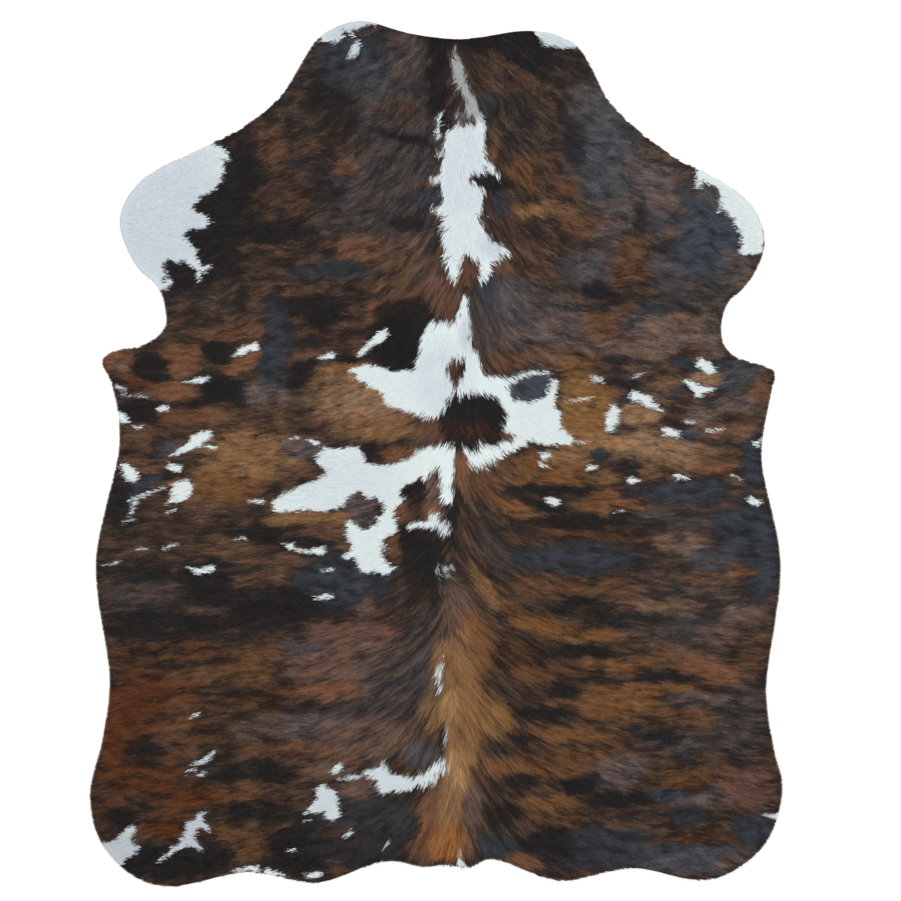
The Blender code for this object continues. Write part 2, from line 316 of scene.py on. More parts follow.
TONE_MARKS = {
    "left of the neck": tone_marks(
        (380, 140, 85, 115, Tone.VIOLET_GREY), (325, 115, 30, 50, Tone.BLACK, 0.8),
        (300, 125, 26, 40, Tone.OLIVE_BROWN, 0.7), (352, 60, 32, 26, Tone.BLUE_BLACK),
        (372, 80, 26, 20, Tone.SLATE, 0.6), (412, 52, 14, 24, Tone.GREY_BROWN, 0.5, 40),
        (438, 85, 11, 46, Tone.BLACK), (446, 124, 8, 9, Tone.BLACK),
        (406, 139, 28, 3.4, Tone.SOLID_BLACK, 1.0, 17), (452, 102, 9, 13, Tone.WINE_BLACK, 0.7),
        (402, 112, 24, 10, Tone.DARK_BROWN, 0.8), (330, 148, 30, 24, Tone.DARK_BROWN, 0.8),
        (232, 180, 34, 46, Tone.BLACK), (276, 150, 16, 20, Tone.RUST_BROWN, 0.9),
        (284, 198, 34, 26, Tone.UMBER), (346, 170, 13, 8, Tone.RUST, 0.6),
        (322, 192, 20, 12, Tone.BLACK, 0.6), (362, 250, 32, 14, Tone.RUST, 0.7),
        (425, 188, 10, 7, Tone.RUST, 0.8), (428, 199, 14, 9, Tone.BLUE_BLACK, 0.9),
        (405, 225, 15, 9, Tone.BLACK, 0.7), (414, 258, 12, 24, Tone.ROSE_BROWN, 0.7),
        (398, 262, 22, 16, Tone.BROWN, 0.8), (208, 230, 30, 36, Tone.BLACK), (262, 233, 44, 10, Tone.BLACK),
        (250, 262, 40, 6, Tone.UMBER, 0.8), (332, 271, 34, 9, Tone.BLUE_BLACK, 0.8),
        (180, 280, 26, 22, Tone.BLACK), (298, 293, 13, 6, Tone.RUST, 0.55),
        (228, 291, 16, 7, Tone.OLIVE_BROWN), (400, 288, 34, 12, Tone.BROWN, 0.9),
        (338, 292, 30, 8, Tone.DARK_BROWN),
    ),
    "right of the neck": tone_marks(
        (530, 80, 66, 60, Tone.OLIVE_BROWN), (535, 52, 30, 22, Tone.BLACK, 0.85),
        (486, 41, 58, 12, Tone.BLACK, 0.9), (482, 84, 16, 26, Tone.DARK_BROWN),
        (528, 82, 38, 6, Tone.RUST_BROWN, 0.7, 38), (493, 112, 6, 13, Tone.BLACK, 0.8),
        (530, 132, 34, 24, Tone.OLIVE_BROWN), (492, 151, 7, 10, Tone.RUST, 0.9),
        (592, 100, 18, 16, Tone.GREY_BROWN, 0.8), (602, 150, 34, 60, Tone.SLATE),
        (576, 145, 13, 26, Tone.BLACK, 0.7), (542, 163, 20, 9, Tone.RUST_BROWN, 0.8),
        (522, 178, 16, 16, Tone.GOLD_BROWN, 0.6), (545, 212, 32, 9, Tone.OCHRE, 0.75),
        (556, 186, 22, 12, Tone.RUST_BROWN, 0.8), (590, 227, 36, 10, Tone.RUST_BROWN, 0.9),
        (498, 201, 9, 18, Tone.BLUE_BLACK, 0.6), (530, 233, 28, 8, Tone.DARK_BROWN, 0.8),
        (526, 262, 34, 17, Tone.BROWN, 0.9), (510, 292, 30, 14, Tone.SLATE, 0.8),
        (592, 270, 28, 20, Tone.SLATE, 0.9), (560, 292, 34, 10, Tone.OLIVE_BROWN, 0.8),
        (600, 294, 22, 9, Tone.BLACK),
    ),
    "right shoulder": tone_marks(
        (645, 195, 40, 40, Tone.GREY_BROWN, 0.9), (608, 172, 20, 24, Tone.SLATE, 0.8),
        (638, 222, 9, 20, Tone.BLACK, 0.7), (658, 222, 16, 14, Tone.SLATE, 0.8),
        (682, 232, 16, 9, Tone.ROSE_BROWN, 0.7), (678, 268, 26, 26, Tone.SLATE, 0.9),
        (672, 250, 14, 9, Tone.BLACK, 0.6), (636, 250, 12, 12, Tone.RUST_BROWN, 0.9),
        (632, 272, 24, 17, Tone.RUST_BROWN, 0.9), (700, 200, 20, 22, Tone.SLATE, 0.8),
        (714, 242, 32, 38, Tone.STEEL), (738, 264, 20, 20, Tone.GREY_BROWN, 0.7),
        (705, 296, 34, 20, Tone.VIOLET_GREY), (662, 308, 26, 10, Tone.BLUE_BLACK, 0.7),
        (535, 322, 60, 28, Tone.GREY_BROWN, 0.8), (508, 318, 18, 14, Tone.SLATE, 0.6),
        (488, 325, 13, 30, Tone.VIOLET_GREY, 0.8), (608, 325, 28, 14, Tone.RUST_BROWN, 0.9),
        (640, 322, 22, 12, Tone.GREY_BROWN, 0.8), (604, 348, 34, 10, Tone.ROSE_BROWN),
        (506, 362, 16, 10, Tone.RUST_BROWN, 0.9), (684, 330, 38, 16, Tone.FAWN),
        (652, 350, 34, 12, Tone.FAWN, 0.7), (550, 355, 26, 8, Tone.DARK_BROWN, 0.8),
        (715, 335, 14, 26, Tone.GREY_BROWN, 0.7),
    ),
    "left shoulder and belly": tone_marks(
        (205, 302, 40, 15, Tone.OLIVE_BROWN), (190, 322, 34, 14, Tone.DARK_BROWN),
        (290, 308, 24, 9, Tone.BLACK, 0.8), (322, 312, 20, 17, Tone.BLACK),
        (372, 312, 10, 10, Tone.RUST, 0.9), (392, 303, 15, 6, Tone.RUST_BROWN),
        (344, 337, 24, 13, Tone.DARK_BROWN, 0.9), (228, 335, 32, 9, Tone.RUST_BROWN),
        (252, 331, 13, 6, Tone.RUST), (118, 361, 18, 11, Tone.RUST, 0.9), (126, 367, 8, 3.5, Tone.FAWN, 0.8),
        (154, 367, 20, 17, Tone.BLACK), (135, 384, 18, 7, Tone.RED_BROWN, 0.9), (182, 352, 22, 8, Tone.RUST),
        (184, 369, 15, 10, Tone.RUST), (215, 352, 15, 10, Tone.BLACK), (242, 364, 23, 9, Tone.RUST, 1.0, -24),
        (225, 390, 25, 13, Tone.BLACK), (175, 392, 28, 9, Tone.RUST), (138, 412, 23, 12, Tone.BLACK),
        (184, 416, 22, 8, Tone.RUST_BROWN), (196, 402, 11, 6, Tone.BLACK, 0.7),
        (208, 416, 24, 8, Tone.RUST, 0.8), (274, 350, 14, 46, Tone.BLUE_BLACK),
        (313, 379, 22, 18, Tone.BLACK), (340, 378, 24, 17, Tone.OCHRE),
        (312, 353, 14, 6, Tone.PINK_BROWN, 0.8), (265, 395, 24, 14, Tone.GREY_BROWN, 0.9),
        (268, 416, 26, 12, Tone.BROWN, 0.9), (365, 400, 58, 22, Tone.SAND, 0.85),
        (378, 429, 42, 12, Tone.OCHRE), (322, 430, 24, 11, Tone.BROWN, 0.6),
        (300, 418, 16, 10, Tone.DARK_BROWN, 0.8), (245, 446, 44, 18, Tone.OCHRE),
        (235, 470, 38, 18, Tone.OCHRE), (275, 462, 34, 12, Tone.OCHRE, 0.8),
        (302, 450, 22, 11, Tone.GREY_BROWN, 0.9), (300, 472, 30, 7, Tone.BROWN, 0.8),
        (212, 491, 44, 16, Tone.GOLD_BROWN), (200, 512, 30, 14, Tone.BROWN),
        (150, 440, 28, 12, Tone.BROWN, 0.9), (168, 447, 12, 8, Tone.SLATE, 0.7),
        (142, 466, 22, 9, Tone.BROWN, 0.9), (140, 487, 26, 7, Tone.BLUE_BLACK, 0.9, -25),
        (120, 508, 13, 26, Tone.BLACK, 0.9), (152, 520, 30, 14, Tone.DARK_BROWN),
        (225, 528, 50, 12, Tone.DARK_BROWN), (305, 518, 48, 8, Tone.OCHRE, 0.9),
        (330, 531, 24, 9, Tone.BROWN), (262, 534, 28, 7, Tone.BLACK, 0.9), (262, 508, 11, 9, Tone.DARK_BROWN),
        (212, 548, 36, 8, Tone.BROWN, 0.9), (304, 544, 26, 7, Tone.BLACK, 0.9), (262, 558, 40, 6, Tone.BROWN),
        (270, 578, 52, 7, Tone.BROWN, 1.0, -10), (345, 552, 18, 9, Tone.BROWN, 0.9),
        (369, 452, 8, 7, Tone.BLACK, 0.8), (397, 455, 18, 9, Tone.RUST, 0.9),
        (358, 505, 20, 13, Tone.GREY_BROWN), (362, 525, 14, 4, Tone.SLATE, 0.8),
        (412, 487, 14, 12, Tone.BLACK), (434, 493, 9, 14, Tone.ROSE_BROWN), (416, 512, 26, 8, Tone.RUST),
        (391, 550, 10, 13, Tone.RUST_BROWN, 0.9), (412, 548, 12, 40, Tone.BLACK),
        (342, 582, 46, 26, Tone.BLUE_BLACK), (432, 566, 14, 34, Tone.BLACK, 0.9),
    ),
    "left flank": tone_marks(
        (264, 607, 70, 18, Tone.BLACK), (205, 580, 23, 20, Tone.BLACK, 0.95),
        (142, 594, 42, 26, Tone.VIOLET_GREY, 0.7), (160, 626, 60, 18, Tone.BLACK, 0.9),
        (208, 610, 20, 6, Tone.ROSE_BROWN, 0.6), (366, 606, 10, 12, Tone.ROSE_BROWN, 0.7),
        (352, 633, 50, 10, Tone.PINK_BROWN), (350, 662, 62, 26, Tone.ROSE_BROWN),
        (330, 655, 26, 12, Tone.PINK_BROWN, 0.7), (338, 692, 50, 9, Tone.RUST, 0.9),
        (300, 648, 24, 8, Tone.SLATE, 0.6), (250, 654, 32, 8, Tone.RUST_BROWN),
        (240, 672, 40, 12, Tone.TAWNY), (182, 652, 42, 14, Tone.CHOCOLATE),
        (140, 662, 34, 18, Tone.CHOCOLATE, 0.9), (185, 679, 34, 8, Tone.RUST_BROWN),
        (148, 705, 54, 32, Tone.RED_BROWN), (178, 730, 16, 34, Tone.RUST_BROWN, 0.9),
        (116, 735, 24, 40, Tone.RED_BROWN), (207, 732, 14, 14, Tone.CHOCOLATE, 0.9),
        (255, 704, 44, 16, Tone.CHOCOLATE, 0.9), (365, 708, 44, 9, Tone.VIOLET_GREY),
        (392, 682, 34, 30, Tone.VIOLET_GREY, 0.9), (422, 660, 15, 44, Tone.VIOLET_GREY, 0.9),
        (300, 726, 60, 14, Tone.GREY_BROWN, 0.7), (292, 752, 54, 11, Tone.RUST_BROWN),
        (368, 738, 46, 22, Tone.ROSE_BROWN, 0.9), (250, 772, 44, 10, Tone.BLACK, 0.85),
        (240, 791, 40, 8, Tone.RUST_BROWN), (418, 752, 16, 10, Tone.SLATE, 0.8),
        (330, 770, 30, 10, Tone.ROSE_BROWN, 0.7),
    ),
    "left hind": tone_marks(
        (140, 775, 44, 24, Tone.RED_BROWN), (148, 757, 24, 10, Tone.BLACK, 0.6),
        (104, 800, 14, 26, Tone.CHOCOLATE), (190, 797, 34, 14, Tone.RED_BROWN),
        (168, 826, 26, 14, Tone.RED_BROWN), (250, 811, 44, 9, Tone.BLACK, 0.8),
        (235, 835, 34, 11, Tone.TAWNY, 0.9), (252, 850, 16, 14, Tone.TAWNY), (162, 862, 50, 17, Tone.BLACK),
        (214, 855, 18, 14, Tone.BLACK, 0.9), (300, 848, 30, 26, Tone.BLACK),
        (375, 830, 62, 34, Tone.BLUE_BLACK, 0.62), (335, 832, 12, 8, Tone.CHOCOLATE, 0.8),
        (372, 846, 44, 16, Tone.BLACK, 0.5), (354, 788, 20, 11, Tone.ROSE_BROWN),
        (122, 822, 16, 14, Tone.BLACK, 0.8), (418, 852, 16, 12, Tone.RUST_BROWN, 0.9),
    ),
    "right belly": tone_marks(
        (588, 414, 30, 28, Tone.HONEY), (577, 435, 28, 14, Tone.HONEY), (640, 443, 42, 14, Tone.SAND, 0.9),
        (584, 385, 24, 14, Tone.HONEY, 0.85), (578, 364, 18, 10, Tone.TAWNY),
        (626, 401, 11, 7, Tone.BLUE_BLACK, 0.75), (618, 378, 22, 10, Tone.BLACK, 0.55),
        (668, 383, 17, 7, Tone.OCHRE, 0.6), (672, 397, 12, 8, Tone.DARK_BROWN, 0.3),
        (686, 366, 15, 7, Tone.BLUE_BLACK, 0.9), (732, 376, 30, 14, Tone.SLATE, 0.9),
        (703, 378, 15, 7, Tone.SAND), (762, 392, 12, 14, Tone.RUST, 0.8),
        (733, 404, 24, 10, Tone.GREY_BROWN, 0.9), (682, 391, 8, 6, Tone.BLUE_BLACK, 0.9),
        (700, 416, 11, 12, Tone.FAWN, 0.9), (640, 414, 22, 10, Tone.SAND),
        (673, 418, 10, 8, Tone.DARK_BROWN, 0.3), (612, 445, 24, 8, Tone.PALE_GOLD, 0.7),
        (626, 430, 14, 5, Tone.BLUE_BLACK, 0.5), (694, 436, 12, 9, Tone.SLATE, 0.7),
        (732, 433, 26, 8, Tone.RUST, 0.9), (684, 455, 38, 13, Tone.SAND, 0.75),
        (716, 468, 22, 8, Tone.RUST, 0.9), (600, 457, 13, 7, Tone.BLUE_BLACK, 0.85),
        (638, 468, 14, 6, Tone.BLACK, 0.6), (574, 460, 20, 12, Tone.OCHRE),
        (540, 466, 44, 13, Tone.GOLD_BROWN), (500, 480, 26, 14, Tone.BROWN),
        (606, 478, 16, 6, Tone.OCHRE, 0.7), (754, 462, 14, 30, Tone.BLUE_BLACK),
    ),
    "right flank": tone_marks(
        (690, 492, 50, 12, Tone.BLUE_BLACK), (736, 490, 9, 10, Tone.ROSE_BROWN, 0.7),
        (545, 479, 44, 6, Tone.GOLD_BROWN, 0.9), (552, 490, 44, 5, Tone.BLACK),
        (600, 493, 15, 7, Tone.GOLD_BROWN), (520, 510, 30, 7, Tone.GOLD_BROWN, 1.0, 24),
        (560, 507, 26, 6, Tone.BLACK, 0.7), (612, 506, 38, 7, Tone.GOLD_BROWN, 0.9),
        (600, 522, 74, 7, Tone.BLACK, 0.75), (685, 517, 54, 13, Tone.VIOLET_GREY, 0.9),
        (580, 538, 60, 6, Tone.CHOCOLATE), (570, 560, 66, 16, Tone.BLUE_BLACK, 0.85),
        (492, 545, 13, 26, Tone.VIOLET_GREY, 0.75, -25), (682, 543, 28, 10, Tone.FAWN, 0.8),
        (745, 532, 28, 26, Tone.BLUE_BLACK), (764, 565, 17, 42, Tone.BLUE_BLACK),
        (710, 560, 28, 12, Tone.SLATE, 0.9), (741, 574, 14, 8, Tone.RUST, 0.8),
        (706, 578, 32, 5, Tone.RUST_BROWN, 0.9), (548, 586, 34, 12, Tone.RUST_BROWN),
        (606, 590, 34, 8, Tone.TAWNY, 0.9), (582, 606, 32, 7, Tone.BLACK, 0.8),
        (652, 605, 40, 6, Tone.GOLD, 0.8), (636, 621, 44, 7, Tone.BLACK, 0.85),
        (692, 625, 28, 8, Tone.BLUE_BLACK, 0.7), (740, 613, 26, 9, Tone.ROSE_BROWN),
        (722, 634, 28, 12, Tone.BROWN, 0.9), (508, 605, 30, 9, Tone.TAWNY, 0.9, 42),
        (545, 626, 36, 9, Tone.GOLD_BROWN, 1.0, 12), (590, 637, 44, 6, Tone.GOLD_BROWN, 0.9),
        (515, 655, 34, 20, Tone.CHOCOLATE, 0.9), (588, 651, 36, 7, Tone.BLACK), (655, 648, 40, 5, Tone.TAWNY),
        (545, 674, 30, 12, Tone.TAWNY), (622, 665, 40, 8, Tone.GOLD_BROWN), (664, 675, 28, 6, Tone.BLACK),
        (708, 668, 42, 12, Tone.RUST, 1.0, 14), (742, 649, 12, 6, Tone.BLACK, 0.4),
        (690, 614, 72, 38, Tone.GREY_BROWN, 0.35), (748, 692, 20, 9, Tone.VIOLET_GREY, 0.9),
        (640, 690, 54, 6, Tone.GOLD_BROWN), (612, 706, 52, 14, Tone.GOLD_BROWN),
        (563, 688, 13, 10, Tone.BLACK, 0.8), (542, 713, 26, 6, Tone.BLACK),
        (568, 712, 12, 7, Tone.BLACK, 0.6), (526, 736, 18, 6, Tone.BLACK), (570, 733, 46, 8, Tone.GOLD_BROWN),
        (684, 716, 40, 9, Tone.RUST_BROWN), (600, 752, 54, 12, Tone.TAWNY, 0.9),
        (678, 742, 40, 14, Tone.VIOLET_GREY), (662, 736, 22, 6, Tone.BLACK, 0.8),
        (742, 725, 26, 30, Tone.VIOLET_GREY, 0.9), (700, 700, 26, 8, Tone.GREY_BROWN, 0.7),
    ),
    "right hind": tone_marks(
        (620, 772, 34, 16, Tone.GREY_BROWN, 0.8), (545, 765, 46, 14, Tone.TAWNY),
        (502, 768, 20, 12, Tone.GOLD_BROWN, 0.8), (745, 785, 28, 20, Tone.PINK_BROWN),
        (682, 776, 40, 10, Tone.TAWNY), (660, 758, 14, 10, Tone.OLIVE_BROWN), (580, 785, 20, 9, Tone.BLACK),
        (520, 781, 20, 7, Tone.BLACK, 0.8), (552, 802, 38, 8, Tone.GOLD_BROWN),
        (560, 818, 30, 8, Tone.TAWNY, 0.8), (620, 800, 40, 7, Tone.BLACK, 0.8),
        (665, 797, 18, 7, Tone.BLUE_BLACK), (700, 800, 26, 9, Tone.GREY_BROWN, 0.9),
        (690, 815, 16, 9, Tone.BLUE_BLACK, 0.9), (644, 830, 22, 7, Tone.ROSE_BROWN, 0.9),
        (505, 816, 18, 12, Tone.BLACK, 0.8), (494, 848, 22, 16, Tone.BLUE_BLACK, 0.8),
        (600, 848, 70, 20, Tone.BLUE_BLACK, 0.9), (550, 845, 30, 18, Tone.BLACK, 0.9),
        (522, 862, 20, 9, Tone.RUST, 0.9), (690, 858, 54, 17, Tone.SLATE),
        (690, 838, 40, 8, Tone.CHOCOLATE, 0.9), (735, 861, 17, 8, Tone.ROSE_BROWN, 0.8),
        (758, 830, 24, 16, Tone.BLUE_BLACK),
    ),
    "spine": tone_marks(
        (450, 300, 12, 22, Tone.CHESTNUT), (464, 268, 8, 16, Tone.CHESTNUT),
        (434, 292, 9, 20, Tone.PINK_BROWN), (487, 288, 12, 18, Tone.BLUE_BLACK),
        (464, 474, 11, 20, Tone.AUBURN), (485, 486, 18, 17, Tone.RUST_BROWN),
        (455, 520, 10, 28, Tone.BLACK, 0.9), (472, 530, 13, 34, Tone.DARK_BROWN),
        (452, 605, 16, 26, Tone.ROSE_BROWN, 0.8), (484, 588, 30, 7, Tone.OCHRE, 0.75, 56),
        (470, 628, 13, 20, Tone.RUST, 0.9), (445, 655, 10, 16, Tone.OCHRE),
        (472, 650, 22, 28, Tone.GOLD_BROWN, 1.0, 20), (462, 655, 12, 24, Tone.OCHRE),
        (460, 690, 22, 26, Tone.GOLD), (488, 716, 28, 20, Tone.HONEY, 0.8, 20),
        (450, 714, 13, 22, Tone.PALE_GOLD), (432, 713, 13, 20, Tone.OCHRE, 0.8),
        (462, 745, 18, 28, Tone.GOLD), (458, 775, 14, 22, Tone.PALE_GOLD), (447, 805, 15, 24, Tone.OCHRE),
        (426, 822, 12, 22, Tone.RUST, 0.9), (449, 842, 18, 20, Tone.ORANGE),
        (474, 804, 9, 26, Tone.ROSE_BROWN, 0.8), (441, 738, 5, 15, Tone.BLACK, 0.9),
    ),
    "blots on the spine": tone_marks(
        (434, 429, 13, 14, Tone.CHESTNUT), (476, 418, 34, 32, Tone.SOLID_BLACK),
        (482, 430, 16, 13, Tone.WINE_BLACK), (458, 432, 14, 14, Tone.WINE_BLACK, 0.8),
        (456, 376, 12, 18, Tone.CHESTNUT), (456, 371, 11, 10, Tone.WINE_BLACK, 0.75),
        (456, 388, 6, 6, Tone.GREY_BROWN),
    ),
    "touches over the zones": tone_marks(
        (404, 519, 11, 8, Tone.RUST_BROWN, 0.9), (218, 260, 24, 24, Tone.BLACK, 0.8),
        (540, 357, 24, 9, Tone.OCHRE, 0.5), (754, 650, 16, 14, Tone.RUST_BROWN, 0.6),
        (138, 572, 26, 12, Tone.BLACK, 0.7), (325, 388, 24, 14, Tone.BROWN, 0.4),
        (250, 340, 22, 12, Tone.DARK_BROWN, 0.4), (700, 320, 28, 16, Tone.DARK_BROWN, 0.4),
        (486, 105, 8, 12, Tone.BLUE_BLACK, 0.8), (555, 360, 20, 9, Tone.FAWN, 0.4),
        (635, 372, 20, 8, Tone.FAWN, 0.35), (662, 392, 22, 12, Tone.FAWN, 0.35),
        (701, 414, 18, 12, Tone.FAWN, 0.45), (731, 436, 20, 10, Tone.FAWN, 0.35),
        (757, 409, 11, 12, Tone.FAWN, 0.4), (658, 472, 17, 8, Tone.OCHRE, 0.5),
        (565, 366, 14, 8, Tone.HONEY, 0.5), (560, 458, 14, 7, Tone.SAND, 0.5),
        (609, 234, 18, 14, Tone.GREY_BROWN, 0.6), (260, 723, 20, 12, Tone.DARK_BROWN, 0.5),
    ),
    "blots beside the spine": tone_marks(
        (533, 387, 24, 16, Tone.OVAL_GREY), (405, 342, 34, 34, Tone.SOLID_BLACK),
        (346, 359, 8, 5, Tone.BLACK), (488, 183, 18, 9, Tone.SOLID_BLACK, 0.8), (506, 438, 8, 5, Tone.RUST),
    ),
}

SHADE_MARKS = tuple(ShadeMark(*row) for row in (  # column, row, half width, half height and shade
    (150, 205, 75, 90, 0.90), (464, 180, 24, 70, 0.70), (464, 235, 30, 30, 0.45), (463, 84, 18, 36, 2.00),
    (456, 63, 14, 14, 1.90), (470, 110, 18, 12, 1.95), (444, 380, 30, 40, 0.60), (340, 480, 60, 30, 0.30),
    (445, 525, 12, 10, 0.80), (446, 574, 12, 9, 1.70), (441, 690, 10, 24, 0.90), (447, 745, 8, 26, 1.75),
    (120, 847, 30, 22, 1.35), (196, 832, 24, 34, 1.25), (350, 28, 42, 20, 0.90), (353, 50, 12, 12, 0.90),
    (562, 38, 28, 16, 0.75), (400, 776, 60, 20, 0.55), (326, 800, 24, 20, 0.65), (469, 335, 10, 18, 1.15),
    (492, 246, 10, 14, 1.10), (200, 765, 22, 16, 0.80), (130, 392, 30, 10, 1.40), (134, 512, 16, 16, 0.90),
    (600, 380, 14, 8, 1.30), (640, 374, 12, 6, 1.70), (692, 423, 10, 5, 1.30), (165, 548, 40, 10, 1.20),
))

LAY_MARKS = (
    LayMark(20, 457, 0.30, 0.170, 0.06, 0.55),
    LayMark(100, 466, 0.30, 0.160, 0.06, 0.55),
    LayMark(200, 467, 0.28, 0.110, 0.08, 0.45),
    LayMark(330, 466, 0.24, 0.080, 0.08, 0.30),
    LayMark(430, 460, 0.22, 0.075, 0.06, 0.28),
    LayMark(540, 452, 0.18, 0.070, 0.04, 0.14),
    LayMark(600, 452, 0.20, 0.080, 0.04, 0.14),
    LayMark(700, 453, 0.28, 0.095, 0.06, 0.14),
    LayMark(800, 456, 0.30, 0.085, 0.10, 0.16),
    LayMark(890, 459, 0.30, 0.075, 0.16, 0.18),
)

LENGTH_MARKS = (
    LengthMark(20, 0.020, 0.06),
    LengthMark(120, 0.028, 0.10),
    LengthMark(350, 0.030, 0.16),
    LengthMark(480, 0.028, 0.14),
    LengthMark(560, 0.022, 0.08),
    LengthMark(630, 0.036, 0.12),
    LengthMark(720, 0.044, 0.14),
    LengthMark(820, 0.044, 0.11),
    LengthMark(890, 0.032, 0.08),
)


@dataclass(frozen=True)
class PhotoPlan:
    """Turns the photograph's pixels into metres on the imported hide.

    The four sides are the hide's in the photograph, which is square.
    """

    left: float = 89.65
    right: float = 782.87
    top: float = 20.0
    bottom: float = 887.4
    middle: float = 450.5
    picture_width: int = 901

    def x(self, column: float) -> float:
        """Metres across the hide at a pixel column."""
        return HIDE_LOW.x + (HIDE_HIGH.x - HIDE_LOW.x) * (column - self.left) / (self.right - self.left)

    def y(self, row: float) -> float:
        """Metres along the hide at a pixel row."""
        return HIDE_LOW.y + (HIDE_HIGH.y - HIDE_LOW.y) * (self.bottom - row) / (self.bottom - self.top)

    def pixel(self) -> float:
        """Metres in one pixel of the photograph."""
        return (HIDE_HIGH.y - HIDE_LOW.y) / (self.bottom - self.top)


PHOTO = PhotoPlan()


def eased(part: np.ndarray) -> np.ndarray:
    """Parts from 0 to 1, changing slowly near both ends."""
    return part * part * (3 - 2 * part)


def smoothstep(low: float, high: float, value: np.ndarray) -> np.ndarray:
    """0 at low and 1 at high, with a smooth change between them."""
    return eased(np.clip((value - low) / (high - low), 0, 1))


@dataclass(frozen=True)
class SoftNoise:
    """Smooth random swells between -1 and 1 over the hide, the same on each run."""

    pitch: float
    seed: int
    cells: int = 128

    def at(self, x: np.ndarray, y: np.ndarray) -> np.ndarray:
        """The swell at each place.

        Args:
            x: metres across the hide.
            y: metres along the hide.

        Returns:
            One value between -1 and 1 for each place.
        """
        lattice = np.random.default_rng(self.seed).uniform(-1, 1, (self.cells, self.cells))
        column = np.floor(x / self.pitch).astype(int)
        row = np.floor(y / self.pitch).astype(int)
        right = eased(x / self.pitch - column)
        up = eased(y / self.pitch - row)
        c0, c1 = column % self.cells, (column + 1) % self.cells
        r0, r1 = row % self.cells, (row + 1) % self.cells
        low = lattice[r0, c0] * (1 - right) + lattice[r0, c1] * right
        high = lattice[r1, c0] * (1 - right) + lattice[r1, c1] * right
        return low * (1 - up) + high * up


@dataclass(frozen=True)
class NoiseMix:
    """Swells of several sizes added up: each has a strength, a pitch in metres and a seed."""

    layers: tuple[tuple[float, float, int], ...]

    def at(self, x: np.ndarray, y: np.ndarray) -> np.ndarray:
        """The sum of the swells at each place."""
        return sum(strength * SoftNoise(pitch, seed).at(x, y) for strength, pitch, seed in self.layers)


class PlanGrid:
    """Values on an even grid over the hide's box, read between its points."""

    def __init__(self, pitch: float, margin: float = 0.02) -> None:
        """Lay out the grid.

        Args:
            pitch: metres between its points.
            margin: how far it reaches past the hide's box.
        """
        self.pitch = pitch
        self.x0 = HIDE_LOW.x - margin
        self.y0 = HIDE_LOW.y - margin
        columns = math.ceil((HIDE_HIGH.x - HIDE_LOW.x + 2 * margin) / pitch) + 2
        rows = math.ceil((HIDE_HIGH.y - HIDE_LOW.y + 2 * margin) / pitch) + 2
        self.x, self.y = np.meshgrid(
            self.x0 + pitch * np.arange(columns), self.y0 + pitch * np.arange(rows)
        )
        self.values = np.zeros(self.x.shape)

    def window(self, x: float, y: float, reach_x: float, reach_y: float) -> tuple[slice, slice]:
        """The part of the grid within a reach of a place.

        Args:
            x: metres across the hide.
            y: metres along the hide.
            reach_x: how far the part goes to either side.
            reach_y: how far it goes up and down.

        Returns:
            Its rows and its columns.
        """
        rows, columns = self.x.shape
        left = max(int((x - reach_x - self.x0) / self.pitch), 0)
        right = min(int((x + reach_x - self.x0) / self.pitch) + 2, columns)
        low = max(int((y - reach_y - self.y0) / self.pitch), 0)
        high = min(int((y + reach_y - self.y0) / self.pitch) + 2, rows)
        return slice(low, max(high, low)), slice(left, max(right, left))

    def at(self, x: np.ndarray, y: np.ndarray) -> np.ndarray:
        """The values at each place, by bilinear interpolation.

        Args:
            x: metres across the hide.
            y: metres along the hide.

        Returns:
            One value, or one row of values, for each place.
        """
        rows, columns = self.x.shape
        across = np.clip((x - self.x0) / self.pitch, 0, columns - LAST_CELL)
        along = np.clip((y - self.y0) / self.pitch, 0, rows - LAST_CELL)
        c, r = across.astype(int), along.astype(int)
        u, v = across - c, along - r
        if self.values.ndim == 3:
            u, v = u[..., None], v[..., None]
        low = self.values[r, c] * (1 - u) + self.values[r, c + 1] * u
        high = self.values[r + 1, c] * (1 - u) + self.values[r + 1, c + 1] * u
        return low * (1 - v) + high * v


def mesh_points(mesh: bpy.types.Mesh) -> np.ndarray:
    """The places of a mesh's points, one row for each.

    Args:
        mesh: the mesh.

    Returns:
        The rows.
    """
    places = np.zeros(len(mesh.vertices) * 3, np.float32)
    mesh.vertices.foreach_get("co", places)
    return places.reshape(-1, 3).astype(float)


